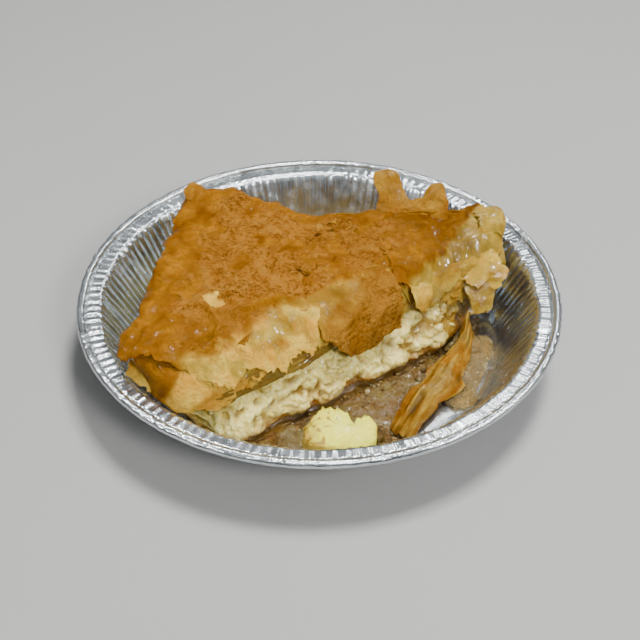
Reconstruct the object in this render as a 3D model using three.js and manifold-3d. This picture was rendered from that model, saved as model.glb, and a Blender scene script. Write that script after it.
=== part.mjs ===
// A cut triangular piece of galaktoboureko in its small round foil dish.
// Millimetres, Z up, origin at the middle of the dish's underside.
// The camera side of the dish is -Y, and the long cut face of the piece looks that way.
import * as THREE from "three";
import { mergeVertices } from "three/addons/utils/BufferGeometryUtils.js";
import Module from "manifold-3d";

// Foil dish
const RIM_RADIUS = 75;
const LEDGE_INNER_RADIUS = 67.8;
const LEDGE_OUTER_RADIUS = 72.2;
const FLOOR_RADIUS = 54.5;
const CORNER_RADIUS = 57;
const CORNER_HEIGHT = 1.9;
const LEDGE_HEIGHT = 21;
const BEAD_HEIGHT = 2.6;
const FOIL_THICKNESS = 0.5;
const PLEATS = 92;
const WALL_PLEAT_DEPTH = 0.55;
const LEDGE_PLEAT_DEPTH = 0.22;

// Layers of the piece
const GAP = 0.35;
const BASE_UNDERSIDE = FOIL_THICKNESS + GAP;
const BASE_TOP = 3.3;
const APRON_TOP = 2.1;
const CUSTARD_FOOT = BASE_TOP + GAP;
const CUSTARD_TOP = 21;
const CUSTARD_SINK_AT_POINT = 3.5;
const FRONT_FOOT = -27.5;
const FRONT_FOOT_SLANT = -0.113;
const FRONT_FOOT_RETURN = 7;
const SLICE_TURN = THREE.MathUtils.degToRad(41);
const SLICE_MIDDLE = new THREE.Vector2(-6, 4);
const OUTLINE_STEP = 3.3;
const FOOT_RADIUS = FLOOR_RADIUS - 2.2;
const APRON_RADIUS = FLOOR_RADIUS - 3.2;

// Posts round the piece, seen from above with the cut face along -T: the edge of the
// browned skin (s, t, height), how far the folded lip under it stands out, and the
// height at which that lip ends.
const POSTS = [
  { s: -58, t: -4.5, top: 31, out: 9, lip: 18.5 },
  { s: -48, t: -11, top: 31.5, out: 9, lip: 19.5 },
  { s: -32, t: -10, top: 32, out: 12, lip: 18.8 },
  { s: -6, t: -12.5, top: 32, out: 9, lip: 18.3 },
  { s: 16, t: -12.5, top: 31, out: 7.5, lip: 17.8 },
  { s: 40, t: -15, top: 30, out: 9.5, lip: 16.5 },
  { s: 58, t: -19, top: 30, out: 6.5, lip: 15 },
  { s: 60, t: -12, top: 32, out: -2, lip: 18 },
  { s: 31, t: 9, top: 33, out: -2, lip: 19 },
  { s: 12, t: 23, top: 32, out: -2, lip: 19 },
  { s: 2.5, t: 47, top: 33.5, out: -3, lip: 19 },
  { s: -8, t: 56.5, top: 33.5, out: -5, lip: 19 },
  { s: -43, t: 27, top: 33, out: -2, lip: 19 },
  { s: -68, t: 6.5, top: 31, out: -9, lip: 18 },
];

// Loose pieces in the dish
const STRIP_THICKNESS = 1.1;
const LUMP_SIZE = new THREE.Vector3(11.2, 7.4, 3.9);
const LUMP_CENTRE = new THREE.Vector3(7.6, -49, 6.7);

// A repeatable number between 0 and 1 for a lattice point.
function lattice(i, j, seed) {
  const wave = Math.sin(i * 127.1 + j * 311.7 + seed * 74.7) * 43758.5453;
  return wave - Math.floor(wave);
}

// Smooth noise between -1 and 1.
function noise(x, y, seed) {
  const i = Math.floor(x);
  const j = Math.floor(y);
  const fx = THREE.MathUtils.smoothstep(x - i, 0, 1);
  const fy = THREE.MathUtils.smoothstep(y - j, 0, 1);
  const near = THREE.MathUtils.lerp(lattice(i, j, seed), lattice(i + 1, j, seed), fx);
  const far = THREE.MathUtils.lerp(lattice(i, j + 1, seed), lattice(i + 1, j + 1, seed), fx);
  return 2 * THREE.MathUtils.lerp(near, far, fy) - 1;
}

// A round hump of height 1 at (s0, t0).
function hump(s, t, s0, t0, width, depth) {
  return Math.exp(-(((s - s0) / width) ** 2) - ((t - t0) / depth) ** 2);
}

// Closed skin through rows of points, each row one turn round the body, counter-clockwise
// from above, from the point at its underside to the point at its top.
function skin(rows) {
  const turn = rows[1].length;
  const points = [rows[0][0]];
  const faces = [];
  const last = rows.length - 1;
  rows.slice(1, last).forEach((row) => points.push(...row));
  points.push(rows[last][0]);
  const at = (row, step) => 1 + (row - 1) * turn + (step % turn);
  for (let step = 0; step < turn; step++) {
    faces.push(0, at(1, step + 1), at(1, step));
    for (let row = 1; row < last - 1; row++) {
      faces.push(at(row, step), at(row, step + 1), at(row + 1, step + 1));
      faces.push(at(row, step), at(row + 1, step + 1), at(row + 1, step));
    }
    faces.push(at(last - 1, step), at(last - 1, step + 1), points.length - 1);
  }
  return new THREE.BufferGeometry().setFromPoints(points).setIndex(faces);
}

// A thin wavy sheet of even thickness over a surface of two numbers from 0 to 1.
function sheet(surface, across, along, thickness) {
  const points = [];
  const faces = [];
  const small = 0.01;
  const width = across + 1;
  const count = width * (along + 1);
  const at = (i, j) => j * width + i;
  for (const side of [0.5, -0.5]) {
    for (let j = 0; j <= along; j++) {
      for (let i = 0; i <= across; i++) {
        const u = i / across;
        const w = j / along;
        const alongU = surface(u + small, w).sub(surface(u - small, w));
        const alongW = surface(u, w + small).sub(surface(u, w - small));
        const normal = alongU.cross(alongW).normalize();
        points.push(surface(u, w).addScaledVector(normal, side * thickness));
      }
    }
  }
  for (let j = 0; j < along; j++) {
    for (let i = 0; i < across; i++) {
      const a = at(i, j);
      const b = at(i + 1, j);
      const c = at(i + 1, j + 1);
      const d = at(i, j + 1);
      faces.push(a, b, c, a, c, d);
      faces.push(count + a, count + c, count + b, count + a, count + d, count + c);
    }
  }
  const wall = (a, b) => faces.push(b, a, count + a, b, count + a, count + b);
  for (let i = 0; i < across; i++) {
    wall(at(i, 0), at(i + 1, 0));
    wall(at(i + 1, along), at(i, along));
  }
  for (let j = 0; j < along; j++) {
    wall(at(0, j + 1), at(0, j));
    wall(at(across, j), at(across, j + 1));
  }
  return new THREE.BufferGeometry().setFromPoints(points).setIndex(faces);
}

// Profile of the foil: radius, height, and how far the pleats move it outwards and upwards.
function dishProfile() {
  const foil = FOIL_THICKNESS;
  const wallTop = LEDGE_HEIGHT - 0.9;
  const beadMiddle = (RIM_RADIUS + LEDGE_OUTER_RADIUS) / 2;
  const beadTop = LEDGE_HEIGHT + BEAD_HEIGHT * 0.6;
  const beadFoot = beadTop - BEAD_HEIGHT;
  const wall = WALL_PLEAT_DEPTH;
  const ledge = LEDGE_PLEAT_DEPTH;
  const inside = [
    [FLOOR_RADIUS, foil, 0, 0],
    [CORNER_RADIUS, CORNER_HEIGHT, 0.2 * wall, 0],
    [LEDGE_INNER_RADIUS - 0.6, wallTop, wall, 0],
    [LEDGE_INNER_RADIUS + 0.5, LEDGE_HEIGHT, 0.4 * wall, ledge],
    [LEDGE_OUTER_RADIUS - 0.4, LEDGE_HEIGHT - 0.1, 0, ledge],
    [LEDGE_OUTER_RADIUS + 0.3, LEDGE_HEIGHT + 0.5, 0, 0],
    [beadMiddle, beadTop, 0, 0],
    [RIM_RADIUS, beadTop - BEAD_HEIGHT / 2, 0, 0],
  ];
  const outside = [
    [beadMiddle, beadFoot, 0, 0],
    [LEDGE_OUTER_RADIUS - 0.3, LEDGE_HEIGHT - 0.1 - foil, 0, ledge],
    [LEDGE_INNER_RADIUS + 0.8, LEDGE_HEIGHT - foil, 0.4 * wall, ledge],
    [LEDGE_INNER_RADIUS - 0.1, wallTop - 0.4, wall, 0],
    [CORNER_RADIUS + 0.5, CORNER_HEIGHT - 0.4, 0.2 * wall, 0],
    [FLOOR_RADIUS + 0.2, 0, 0, 0],
  ];
  return [...outside.reverse(), ...inside.reverse()];
}

// Round dish with a pleated wall, a pleated ledge and a rolled bead.
function foilDish() {
  const steps = PLEATS * 2;
  const rows = dishProfile().map(([radius, height, outwards, upwards]) => {
    const row = [];
    for (let step = 0; step < steps; step++) {
      const turn = (2 * Math.PI * step) / steps;
      const fold = (step % 2 ? 0.5 : -0.5) * (0.85 + 0.35 * noise(step * 0.23, 0, 3));
      const reach = radius + outwards * fold;
      const rise = height + upwards * fold;
      row.push(new THREE.Vector3(reach * Math.cos(turn), reach * Math.sin(turn), rise));
    }
    return row;
  });
  const floorUnder = [new THREE.Vector3(0, 0, 0)];
  const floorOver = [new THREE.Vector3(0, 0, FOIL_THICKNESS)];
  return skin([floorUnder, ...rows, floorOver]);
}

// Outward direction of the outline at a post.
function outwardAt(index) {
  const before = POSTS[(index + POSTS.length - 1) % POSTS.length];
  const after = POSTS[(index + 1) % POSTS.length];
  return new THREE.Vector2(after.t - before.t, before.s - after.s).normalize();
}

// Where the foot of the cut face stands on the base.
function frontFoot(s) {
  const recess = FRONT_FOOT_RETURN * THREE.MathUtils.smoothstep(s, 22, 48);
  return FRONT_FOOT + FRONT_FOOT_SLANT * s + recess;
}

// Stations every few millimetres round the piece, each with its skin edge, its lip edge
// and its foot on the base.
function stations() {
  const list = [];
  POSTS.forEach((post, index) => {
    const next = POSTS[(index + 1) % POSTS.length];
    const length = Math.hypot(next.s - post.s, next.t - post.t);
    const count = Math.max(2, Math.round(length / OUTLINE_STEP));
    const from = outwardAt(index);
    const to = outwardAt((index + 1) % POSTS.length);
    for (let k = 0; k < count; k++) {
      const f = k / count;
      const rag = list.length * 0.63;
      const outward = from.clone().lerp(to, f).normalize();
      const edge = new THREE.Vector2(post.s, post.t).lerp(new THREE.Vector2(next.s, next.t), f);
      const out = THREE.MathUtils.lerp(post.out, next.out, f);
      const lip = edge.clone().addScaledVector(outward, out + 0.7 * noise(rag, 1, 5));
      const foot = edge.clone().addScaledVector(outward, Math.max(out, -6) - 2);
      if (out > 3) foot.y = frontFoot(foot.x);
      foot.setLength(Math.min(foot.length(), FOOT_RADIUS));
      const shoulder = lip.clone().lerp(SLICE_MIDDLE, 0.22);
      edge.addScaledVector(outward, 0.6 * noise(rag * 1.7, 2, 9));
      list.push({
        edge,
        lip,
        foot,
        shoulder,
        outward,
        rag,
        front: out > 3,
        edgeHeight: THREE.MathUtils.lerp(post.top, next.top, f) + 0.4 * noise(rag, 4, 7),
        lipHeight: THREE.MathUtils.lerp(post.lip, next.lip, f) + 0.8 * noise(rag * 1.3, 6, 2),
      });
    }
  });
  return list;
}

// Height of the custard's top, which sinks towards the pointed end.
function custardHeight(s) {
  return CUSTARD_TOP - CUSTARD_SINK_AT_POINT * THREE.MathUtils.smoothstep(s, 10, 55);
}

// Height that the browned skin adds to a straight line from its edge to its middle.
function skinRelief(s, t) {
  const swell = 1.6 * hump(s, t, -28, 14, 24, 18) + 0.9 * hump(s, t, 26, -4, 16, 9);
  const dip = -1.8 * hump(s, t, 9, 17, 10, 8);
  const fold = 1.5 * hump(s, t, -24, -6, 10, 2.4) + 1.2 * hump(s, t, 18, -6, 3, 8);
  return swell + dip + fold + 0.7 * noise(s * 0.13, t * 0.13, 11);
}

// Points from the middle out to the custard's shoulder, shared by both sides of that joint.
function jointRow(ring, fraction, lift) {
  return ring.map(({ shoulder }) => {
    const p = SLICE_MIDDLE.clone().lerp(shoulder, fraction);
    return new THREE.Vector3(p.x, p.y, custardHeight(p.x) + lift);
  });
}

// Curdled custard between the base and the folded sheets above.
function custardFilling(ring) {
  const middle = SLICE_MIDDLE;
  const foot = new THREE.Vector3(middle.x, middle.y, CUSTARD_FOOT);
  const top = new THREE.Vector3(middle.x, middle.y, custardHeight(middle.x));
  const rows = [[foot]];
  for (const fraction of [0.5, 1]) {
    rows.push(
      ring.map((station) => {
        const p = middle.clone().lerp(station.foot, fraction);
        return new THREE.Vector3(p.x, p.y, CUSTARD_FOOT);
      }),
    );
  }
  for (const climb of [0.14, 0.3, 0.48, 0.66, 0.84]) {
    rows.push(
      ring.map((station) => {
        const p = station.foot.clone().lerp(station.shoulder, climb ** 1.35);
        const crag = 0.9 * noise(station.rag, climb * 8, 21) + 0.5 * noise(station.rag * 2.1, climb * 14, 4);
        p.addScaledVector(station.outward, crag * (1 - climb ** 3));
        p.y = Math.max(p.y, frontFoot(p.x) - 0.4);
        const height = THREE.MathUtils.lerp(CUSTARD_FOOT, custardHeight(p.x), climb);
        return new THREE.Vector3(p.x, p.y, height);
      }),
    );
  }
  for (const fraction of [1, 0.66, 0.33]) rows.push(jointRow(ring, fraction, 0));
  rows.push([top]);
  return skin(rows);
}

// Folded sheets and browned skin over the custard, with the lip that hangs over the cut face.
function pastryBody(ring) {
  const middle = SLICE_MIDDLE;
  const crown = POSTS.reduce((sum, post) => sum + post.top, 0) / POSTS.length;
  const under = new THREE.Vector3(middle.x, middle.y, custardHeight(middle.x) + GAP);
  const over = new THREE.Vector3(middle.x, middle.y, crown + skinRelief(middle.x, middle.y));
  const rows = [[under]];
  for (const fraction of [0.33, 0.66, 1]) rows.push(jointRow(ring, fraction, GAP));
  rows.push(
    ring.map(({ shoulder, lip, lipHeight }) => {
      const p = shoulder.clone().lerp(lip, 0.6);
      const height = THREE.MathUtils.lerp(custardHeight(shoulder.x) + GAP, lipHeight, 0.6);
      return new THREE.Vector3(p.x, p.y, height + 0.5);
    }),
  );
  for (const climb of [0, 0.14, 0.34, 0.56, 0.78, 0.93]) {
    rows.push(
      ring.map(({ edge, lip, outward, edgeHeight, lipHeight, rag }) => {
        const p = lip.clone().lerp(edge, climb ** 1.4);
        const ply = 0.8 * noise(rag * 0.9, climb * 9, 31);
        p.addScaledVector(outward, Math.sin(Math.PI * climb) * (1.2 + ply));
        return new THREE.Vector3(p.x, p.y, THREE.MathUtils.lerp(lipHeight, edgeHeight, climb));
      }),
    );
  }
  for (const fraction of [1, 0.86, 0.7, 0.52, 0.34, 0.17]) {
    rows.push(
      ring.map(({ edge, edgeHeight }) => {
        const p = middle.clone().lerp(edge, fraction);
        const level = THREE.MathUtils.lerp(crown, edgeHeight, fraction ** 2);
        const rise = level + skinRelief(p.x, p.y) * Math.min(1, 4 * (1 - fraction));
        return new THREE.Vector3(p.x, p.y, rise);
      }),
    );
  }
  rows.push([over]);
  return skin(rows);
}

// Browned sheet that has slid down over the cut face.
function fallenFlap() {
  const upperLeft = new THREE.Vector3(-8, -10.5, 31.2);
  const upperRight = new THREE.Vector3(19, -11, 30);
  const lowerLeft = new THREE.Vector3(-12.5, -26, 15.5);
  const lowerRight = new THREE.Vector3(11, -24, 16.5);
  const surface = (u, w) => {
    const high = upperLeft.clone().lerp(upperRight, u);
    const low = lowerLeft.clone().lerp(lowerRight, u);
    const p = high.lerp(low, w);
    const bulge = 3.4 * Math.sin(Math.PI * Math.min(1, w * 1.05)) + 0.5 * noise(u * 5, w * 4, 13);
    p.y -= 0.75 * bulge;
    p.z += 0.6 * bulge + 1.4 * w * Math.sin(u * 9);
    return p;
  };
  return sheet(surface, 12, 9, 1.5);
}

// Sheet standing up at the back edge in two rounded lobes.
function twoLobedFlake() {
  const left = new THREE.Vector3(31, 7, 31.5);
  const right = new THREE.Vector3(48.5, -7.5, 31);
  const lean = new THREE.Vector3(9, 9.5, 9.5);
  const lobe = (u, middle, half) => 1 - THREE.MathUtils.smoothstep(Math.abs(u - middle), 0.4 * half, 1.1 * half);
  const surface = (u, w) => {
    const height = 0.3 + 0.7 * lobe(u, 0.17, 0.38) + 0.5 * lobe(u, 0.86, 0.26);
    const p = left.clone().lerp(right, u).addScaledVector(lean, w * height);
    p.x -= 2.4 * w * (1 - u);
    p.y += 1.4 * w * (1 - u);
    p.z += 0.8 * Math.sin(u * 8) * w;
    return p;
  };
  return sheet(surface, 16, 5, 1.2);
}

// Pale sheet end that sticks out to the left below the skin.
function leftFlake() {
  const surface = (u, w) => {
    const reach = 9.5 + 1.5 * Math.sin(u * 7);
    const s = THREE.MathUtils.lerp(-57.5, -59.5, u) - reach * w;
    const t = THREE.MathUtils.lerp(7, -6, u) + 1.5 * w;
    return new THREE.Vector3(s, t, 22.5 + 1.2 * w + 0.6 * Math.sin(u * 8));
  };
  return sheet(surface, 6, 4, 1.1);
}

// Soaked bottom sheets under the piece, spread over the floor in front of the cut face.
function pastryBase(ring) {
  const rim = ring.map(({ foot, outward, rag, front }) => {
    const edge = foot.clone().addScaledVector(outward, 0.8 + 0.6 * noise(rag, 3, 17));
    const spread = APRON_RADIUS + 1.2 * noise(rag * 1.2, 5, 19);
    if (front) edge.y = -Math.sqrt(Math.max(0, spread ** 2 - edge.x ** 2));
    return edge.setLength(Math.min(edge.length(), spread));
  });
  const top = (s, t) => {
    const slope = THREE.MathUtils.smoothstep(t, frontFoot(s) - 3, frontFoot(s) - 0.5);
    const wrinkle = 0.35 * noise(s * 0.3, t * 0.3, 23) * (1 - slope);
    return THREE.MathUtils.lerp(APRON_TOP - 0.4 + wrinkle, BASE_TOP, slope);
  };
  const row = (fraction, height) =>
    rim.map((edge) => {
      const p = SLICE_MIDDLE.clone().lerp(edge, fraction);
      return new THREE.Vector3(p.x, p.y, height(p.x, p.y));
    });
  const flat = () => BASE_UNDERSIDE;
  const rows = [[new THREE.Vector3(SLICE_MIDDLE.x, SLICE_MIDDLE.y, BASE_UNDERSIDE)]];
  rows.push(row(0.99, flat));
  rows.push(row(1, () => BASE_UNDERSIDE + 0.5));
  for (const fraction of [0.97, 0.8, 0.62, 0.45]) rows.push(row(fraction, top));
  rows.push([new THREE.Vector3(SLICE_MIDDLE.x, SLICE_MIDDLE.y, BASE_TOP)]);
  return skin(rows);
}

// Radius of the dish wall's inner face at a height.
function wallRadius(height) {
  const climb = (height - CORNER_HEIGHT) / (LEDGE_HEIGHT - CORNER_HEIGHT);
  return THREE.MathUtils.lerp(CORNER_RADIUS, LEDGE_INNER_RADIUS, Math.min(1, climb));
}

// Moves a point in towards the middle of the dish until it clears the wall.
function clearOfWall(p, clearance) {
  const reach = Math.hypot(p.x, p.y);
  const most = wallRadius(p.z) - clearance;
  if (reach > most) p.set((p.x * most) / reach, (p.y * most) / reach, p.z);
  return p;
}

// Loose browned sheet that hangs from the narrow end and trails along the floor in a ridge.
function pastryStrip() {
  const crest = new THREE.CatmullRomCurve3([
    new THREE.Vector3(55.5, 7, 16),
    new THREE.Vector3(50, -1, 12.5),
    new THREE.Vector3(43.5, -9, 10),
    new THREE.Vector3(36, -20, 8),
    new THREE.Vector3(27, -32, 6.8),
    new THREE.Vector3(18.5, -42.5, 5.6),
  ]);
  const surface = (u, w) => {
    const p = crest.getPoint(THREE.MathUtils.clamp(u, 0, 1));
    const side = (w - 0.3) * 12;
    const drop = w < 0.3 ? (0.3 - w) / 0.3 : ((w - 0.3) / 0.7) ** 0.8;
    const ridges = 0.45 * Math.sin(w * 21 + 3 * u) + 0.35 * noise(u * 9, w * 4, 29);
    const floor = APRON_TOP + 1.05;
    p.x += 0.8 * side;
    p.y -= 0.6 * side;
    p.z = THREE.MathUtils.lerp(p.z, floor, drop) + ridges * (1 - drop);
    return clearOfWall(p, 2);
  };
  return sheet(surface, 18, 8, STRIP_THICKNESS);
}

// Lump of custard that fell to the front of the dish, with one flat cut side up.
function custardLump() {
  const turns = 22;
  const rings = 11;
  const rows = [];
  for (let ring = 0; ring <= rings; ring++) {
    const lift = -Math.PI / 2 + (Math.PI * ring) / rings;
    const row = [];
    for (let step = 0; step < turns; step++) {
      const turn = (2 * Math.PI * step) / turns;
      const square = (value) => Math.sign(value) * Math.abs(value) ** 0.55;
      const crag = 1 + 0.13 * noise(Math.cos(turn) * 2.2 + 5, Math.sin(turn) * 2.2 + lift, 37);
      const x = LUMP_SIZE.x * square(Math.cos(turn)) * square(Math.cos(lift)) * crag;
      const y = LUMP_SIZE.y * square(Math.sin(turn)) * square(Math.cos(lift)) * crag;
      const z = LUMP_SIZE.z * square(Math.sin(lift));
      const p = new THREE.Vector3(x, y, z + 0.18 * y).add(LUMP_CENTRE);
      row.push(clearOfWall(p, 1));
    }
    rows.push(ring % rings ? row : [row[0]]);
  }
  return skin(rows);
}

const wasm = await Module();
wasm.setup();

// Solid of one closed geometry.
function solid(geometry) {
  const bare = new THREE.BufferGeometry();
  bare.setAttribute("position", geometry.getAttribute("position"));
  bare.setIndex(geometry.index);
  const merged = mergeVertices(bare, 1e-4);
  const vertProperties = new Float32Array(merged.getAttribute("position").array);
  const triVerts = new Uint32Array(merged.index.array);
  return new wasm.Manifold(new wasm.Mesh({ numProp: 3, vertProperties, triVerts }));
}

// One geometry from several that touch.
function fused(...geometries) {
  const whole = geometries.map(solid).reduce((sum, next) => sum.add(next));
  const mesh = whole.getMesh();
  const geometry = new THREE.BufferGeometry();
  geometry.setAttribute("position", new THREE.BufferAttribute(mesh.vertProperties, 3));
  geometry.setIndex(new THREE.BufferAttribute(mesh.triVerts, 1));
  return geometry;
}

// Named mesh with its own material.
function piece(name, geometry, colour, roughness, metalness) {
  const material = new THREE.MeshStandardMaterial({ color: colour, roughness, metalness });
  const mesh = new THREE.Mesh(geometry, material);
  mesh.name = name;
  return mesh;
}

const ring = stations();
const slice = new THREE.Group();
slice.name = "slice";
slice.rotation.z = SLICE_TURN;
slice.add(piece("pastry_base", pastryBase(ring), "#a9834f", 0.35, 0));
slice.add(piece("custard_filling", custardFilling(ring), "#e8d68f", 0.5, 0));
const pastry = fused(pastryBody(ring), fallenFlap(), twoLobedFlake(), leftFlake());
slice.add(piece("pastry_top", pastry, "#c07a2c", 0.35, 0));

const part = new THREE.Group();
part.name = "galaktoboureko";
part.add(piece("foil_dish", foilDish(), "#d0d2d4", 0.28, 1));
part.add(slice);
part.add(piece("pastry_strip", pastryStrip(), "#b87430", 0.35, 0));
part.add(piece("custard_lump", custardLump(), "#f0dc84", 0.5, 0));

export default part;
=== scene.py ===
"""A cut piece of galaktoboureko in its foil dish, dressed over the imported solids.

Lengths are millimetres until a mesh is made. The piece has its own plan axes: s runs along the
cut face from the wide end to the narrow end, t runs back from it.
"""
import math

import bmesh
import bpy
import numpy as np
from mathutils import Matrix, Vector


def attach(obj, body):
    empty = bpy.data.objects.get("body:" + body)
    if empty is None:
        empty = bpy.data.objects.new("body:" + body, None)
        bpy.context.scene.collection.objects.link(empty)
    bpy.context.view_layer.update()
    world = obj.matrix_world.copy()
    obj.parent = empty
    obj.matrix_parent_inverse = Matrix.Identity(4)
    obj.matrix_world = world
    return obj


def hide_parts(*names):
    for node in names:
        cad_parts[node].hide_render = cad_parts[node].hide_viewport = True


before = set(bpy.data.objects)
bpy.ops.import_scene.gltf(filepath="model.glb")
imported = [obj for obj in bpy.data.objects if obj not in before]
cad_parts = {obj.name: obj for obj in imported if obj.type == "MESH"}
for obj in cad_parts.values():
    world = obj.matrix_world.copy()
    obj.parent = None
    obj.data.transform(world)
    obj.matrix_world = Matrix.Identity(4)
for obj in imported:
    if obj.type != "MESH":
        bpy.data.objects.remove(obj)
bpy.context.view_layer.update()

MM = 0.001
TURN = math.radians(41)
MIDDLE = np.array([-6.0, 4.0])

# Dish
RIM_RADIUS = 75.0
LEDGE_INNER = 67.8
LEDGE_OUTER = 72.2
FLOOR_RADIUS = 54.5
CORNER_RADIUS = 57.0
CORNER_HEIGHT = 1.9
LEDGE_HEIGHT = 21.0
BEAD_HEIGHT = 2.6
FOIL = 0.45
PLEATS = 148

# Thickness of single and doubled leaves, and of syrup
LEAF = 0.3
PATCH_LEAF = 0.32
STRIP_LEAF = 0.35
LOBE_LEAF = 0.4
DOUBLE_LEAF = 0.5
SYRUP_FILM = 0.25
SYRUP_PUDDLE = 0.3

# Posts round the piece: s, t and height of the skin's edge, reach and height of the lip below it
POSTS = np.array([
    (-58, -4.5, 31, 9, 17.6),
    (-48, -11, 31.5, 9, 17.6),
    (-32, -10, 32, 12, 17.6),
    (-6, -12.5, 32, 9, 17.6),
    (16, -12.5, 31, 7.5, 17.8),
    (40, -15, 30, 9.5, 16.5),
    (58, -19, 30, 6.5, 15),
    (60, -12, 32, -2, 18),
    (31, 9, 33, -2, 19),
    (12, 23, 32, -2, 19),
    (2.5, 47, 33.5, -3, 19),
    (-8, 56.5, 33.5, -5, 19),
    (-43, 27, 33, -2, 19),
    (-53, 17.2, 32, -4, 18.5),
    (-68, 6.5, 31, -9, 18),
], float)

# Camera, from the ellipse of the rim in the photograph
CAMERA_PLACE = (0.000222, -0.269702, 0.235348)
CAMERA_PITCH = math.radians(40.036)
CAMERA_ROLL = math.radians(0.245)
CAMERA_LENS = 61.875


def unit(x):
    """Numbers held between 0 and 1."""
    return np.clip(x, 0, 1)


def smooth(x, low, high):
    """0 up to low, 1 from high on, with a soft climb between."""
    part = unit((x - low) / (high - low))
    return part * part * (3 - 2 * part)


def mix(a, b, part):
    """From a at part 0 to b at part 1."""
    return a + (b - a) * part


def xyz(x, y, z=0.0):
    """Points or scales from their three numbers."""
    return np.stack(np.broadcast_arrays(x, y, z), -1).astype(float)


def lattice(cell, seed):
    """Repeatable numbers from 0 to 1 for whole-number cells."""
    c = cell.astype(np.int64)
    mixed = (c[..., 0] * 73856093) ^ (c[..., 1] * 19349663) ^ (c[..., 2] * 83492791) ^ (seed * 50331653)
    mixed = mixed & 0x7FFFFFFF
    mixed = ((mixed ^ (mixed >> 13)) * 1274126177) & 0x7FFFFFFF
    mixed = ((mixed ^ (mixed >> 15)) * 668265263) & 0x7FFFFFFF
    return ((mixed >> 7) & 0xFFFF) / 65535.0


def noise(points, seed):
    """Smooth noise from -1 to 1."""
    base = np.floor(points)
    part = points - base
    part = part * part * part * (part * (part * 6 - 15) + 10)
    total = 0.0
    for corner in np.ndindex(2, 2, 2):
        weight = np.prod(np.where(corner, part, 1 - part), axis=-1)
        total += weight * lattice(base + corner, seed)
    return 2 * total - 1


def rough(points, octaves, seed):
    """Noise with finer noise on it."""
    total = 0.0
    share = 1.0
    for octave in range(octaves):
        total += share * noise(points * 2.03 ** octave, seed + octave)
        share *= 0.5
    return total


def creases(points, octaves, seed):
    """Sharp ridges from 0 to 1."""
    total = 0.0
    share = 0.6
    for octave in range(octaves):
        total += share * (1 - np.abs(noise(points * 2.1 ** octave, seed + octave)))
        share *= 0.45
    return total


def crumple(points, octaves, seed):
    """Sharp ridges about zero."""
    return creases(points, octaves, seed) - 0.6


def curds(points, seed):
    """Rounded lumps: 1 at the middle of a lump, 0 in the cracks between."""
    base = np.floor(points)
    nearest = np.full(points.shape[:-1], 9.0)
    for corner in np.ndindex(3, 3, 3):
        cell = base + np.array(corner) - 1
        centre = cell + np.stack([lattice(cell, seed + k) for k in range(3)], -1)
        nearest = np.minimum(nearest, ((points - centre) ** 2).sum(-1))
    return 1 - np.clip(nearest, 0, 1.3) / 1.3


def wander(points, amount, seed):
    """Points pushed about in plan, so that folds and patches don't line up."""
    push = xyz(noise(points * 0.12, seed), noise(points * 0.12, seed + 1), 0)
    return points + amount * push


def rounded_least(a, b, blur):
    """The lesser of two numbers, with the corner between them rounded."""
    return -blur * np.logaddexp(-a / blur, -b / blur)


def hump(s, t, s0, t0, width, depth):
    """A soft bump of height 1 at a plan place."""
    return np.exp(-(((s - s0) / width) ** 2) - ((t - t0) / depth) ** 2)


def read_off(table, at):
    """The second column of a table of pairs, read off at places in its first."""
    place, value = np.array(table, float).T
    return np.interp(at, place, value)


def to_dish(points):
    """From the piece's plan axes to the dish's."""
    s = points[..., 0]
    t = points[..., 1]
    x = s * math.cos(TURN) - t * math.sin(TURN)
    y = s * math.sin(TURN) + t * math.cos(TURN)
    return xyz(x, y, points[..., 2])


def wall_radius(z):
    """Inside radius of the dish at a height."""
    climb = unit((z - CORNER_HEIGHT) / (LEDGE_HEIGHT - CORNER_HEIGHT))
    return mix(CORNER_RADIUS, LEDGE_INNER, climb)


def inside_wall(points, clearance):
    """Points pulled in where they would touch the dish wall."""
    reach = np.hypot(points[..., 0], points[..., 1])
    over = smooth(points[..., 2], LEDGE_HEIGHT, LEDGE_HEIGHT + 3)
    most = wall_radius(points[..., 2]) - clearance + 12 * over
    share = np.minimum(1, most / np.maximum(reach, 1e-6))
    return xyz(points[..., 0] * share, points[..., 1] * share, points[..., 2])


# Outline of the piece

def ring_of_posts(count=720):
    """The posts joined into an even ring, with its corners a little rounded."""
    after = np.roll(POSTS, -1, 0)
    before = np.roll(POSTS, 1, 0)
    length = np.hypot(after[:, 0] - POSTS[:, 0], after[:, 1] - POSTS[:, 1])
    start = np.concatenate([[0], np.cumsum(length)])
    along = np.linspace(0, start[-1], count, endpoint=False)
    index = np.searchsorted(start, along, side="right") - 1
    part = ((along - start[index]) / length[index])[:, None]
    normal = np.stack([after[:, 1] - before[:, 1], before[:, 0] - after[:, 0]], 1)
    normal /= np.linalg.norm(normal, axis=1)[:, None]
    table = np.concatenate([POSTS, normal], 1)
    ring = mix(table[index], np.roll(table, -1, 0)[index], part)
    near = np.fft.fftfreq(count)[:, None]
    soften = np.exp(-((near * count / 95) ** 2))
    ring = np.fft.ifft(np.fft.fft(ring, axis=0) * soften, axis=0).real
    ring[:, 5:7] /= np.linalg.norm(ring[:, 5:7], axis=1)[:, None]
    turn = along * 2 * np.pi / start[-1]
    place = xyz(50 * np.cos(turn), 50 * np.sin(turn))
    wobble = 1.0 * noise(place * 0.13, 5) + 0.6 * noise(place * 0.37, 6)
    ring[:, 0:2] += ring[:, 5:7] * wobble[:, None]
    ring[:, 3] -= wobble
    return along, ring, start[-1]


RING_ALONG, RING, RING_LENGTH = ring_of_posts()


def ring_at(along):
    """Edge, height, lip reach, lip height and outward direction at places round the piece."""
    columns = [np.interp(along, RING_ALONG, RING[:, k], period=RING_LENGTH) for k in range(7)]
    edge = np.stack(columns[0:2], -1)
    outward = np.stack(columns[5:7], -1)
    return edge, columns[2], columns[3], columns[4], outward


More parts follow.
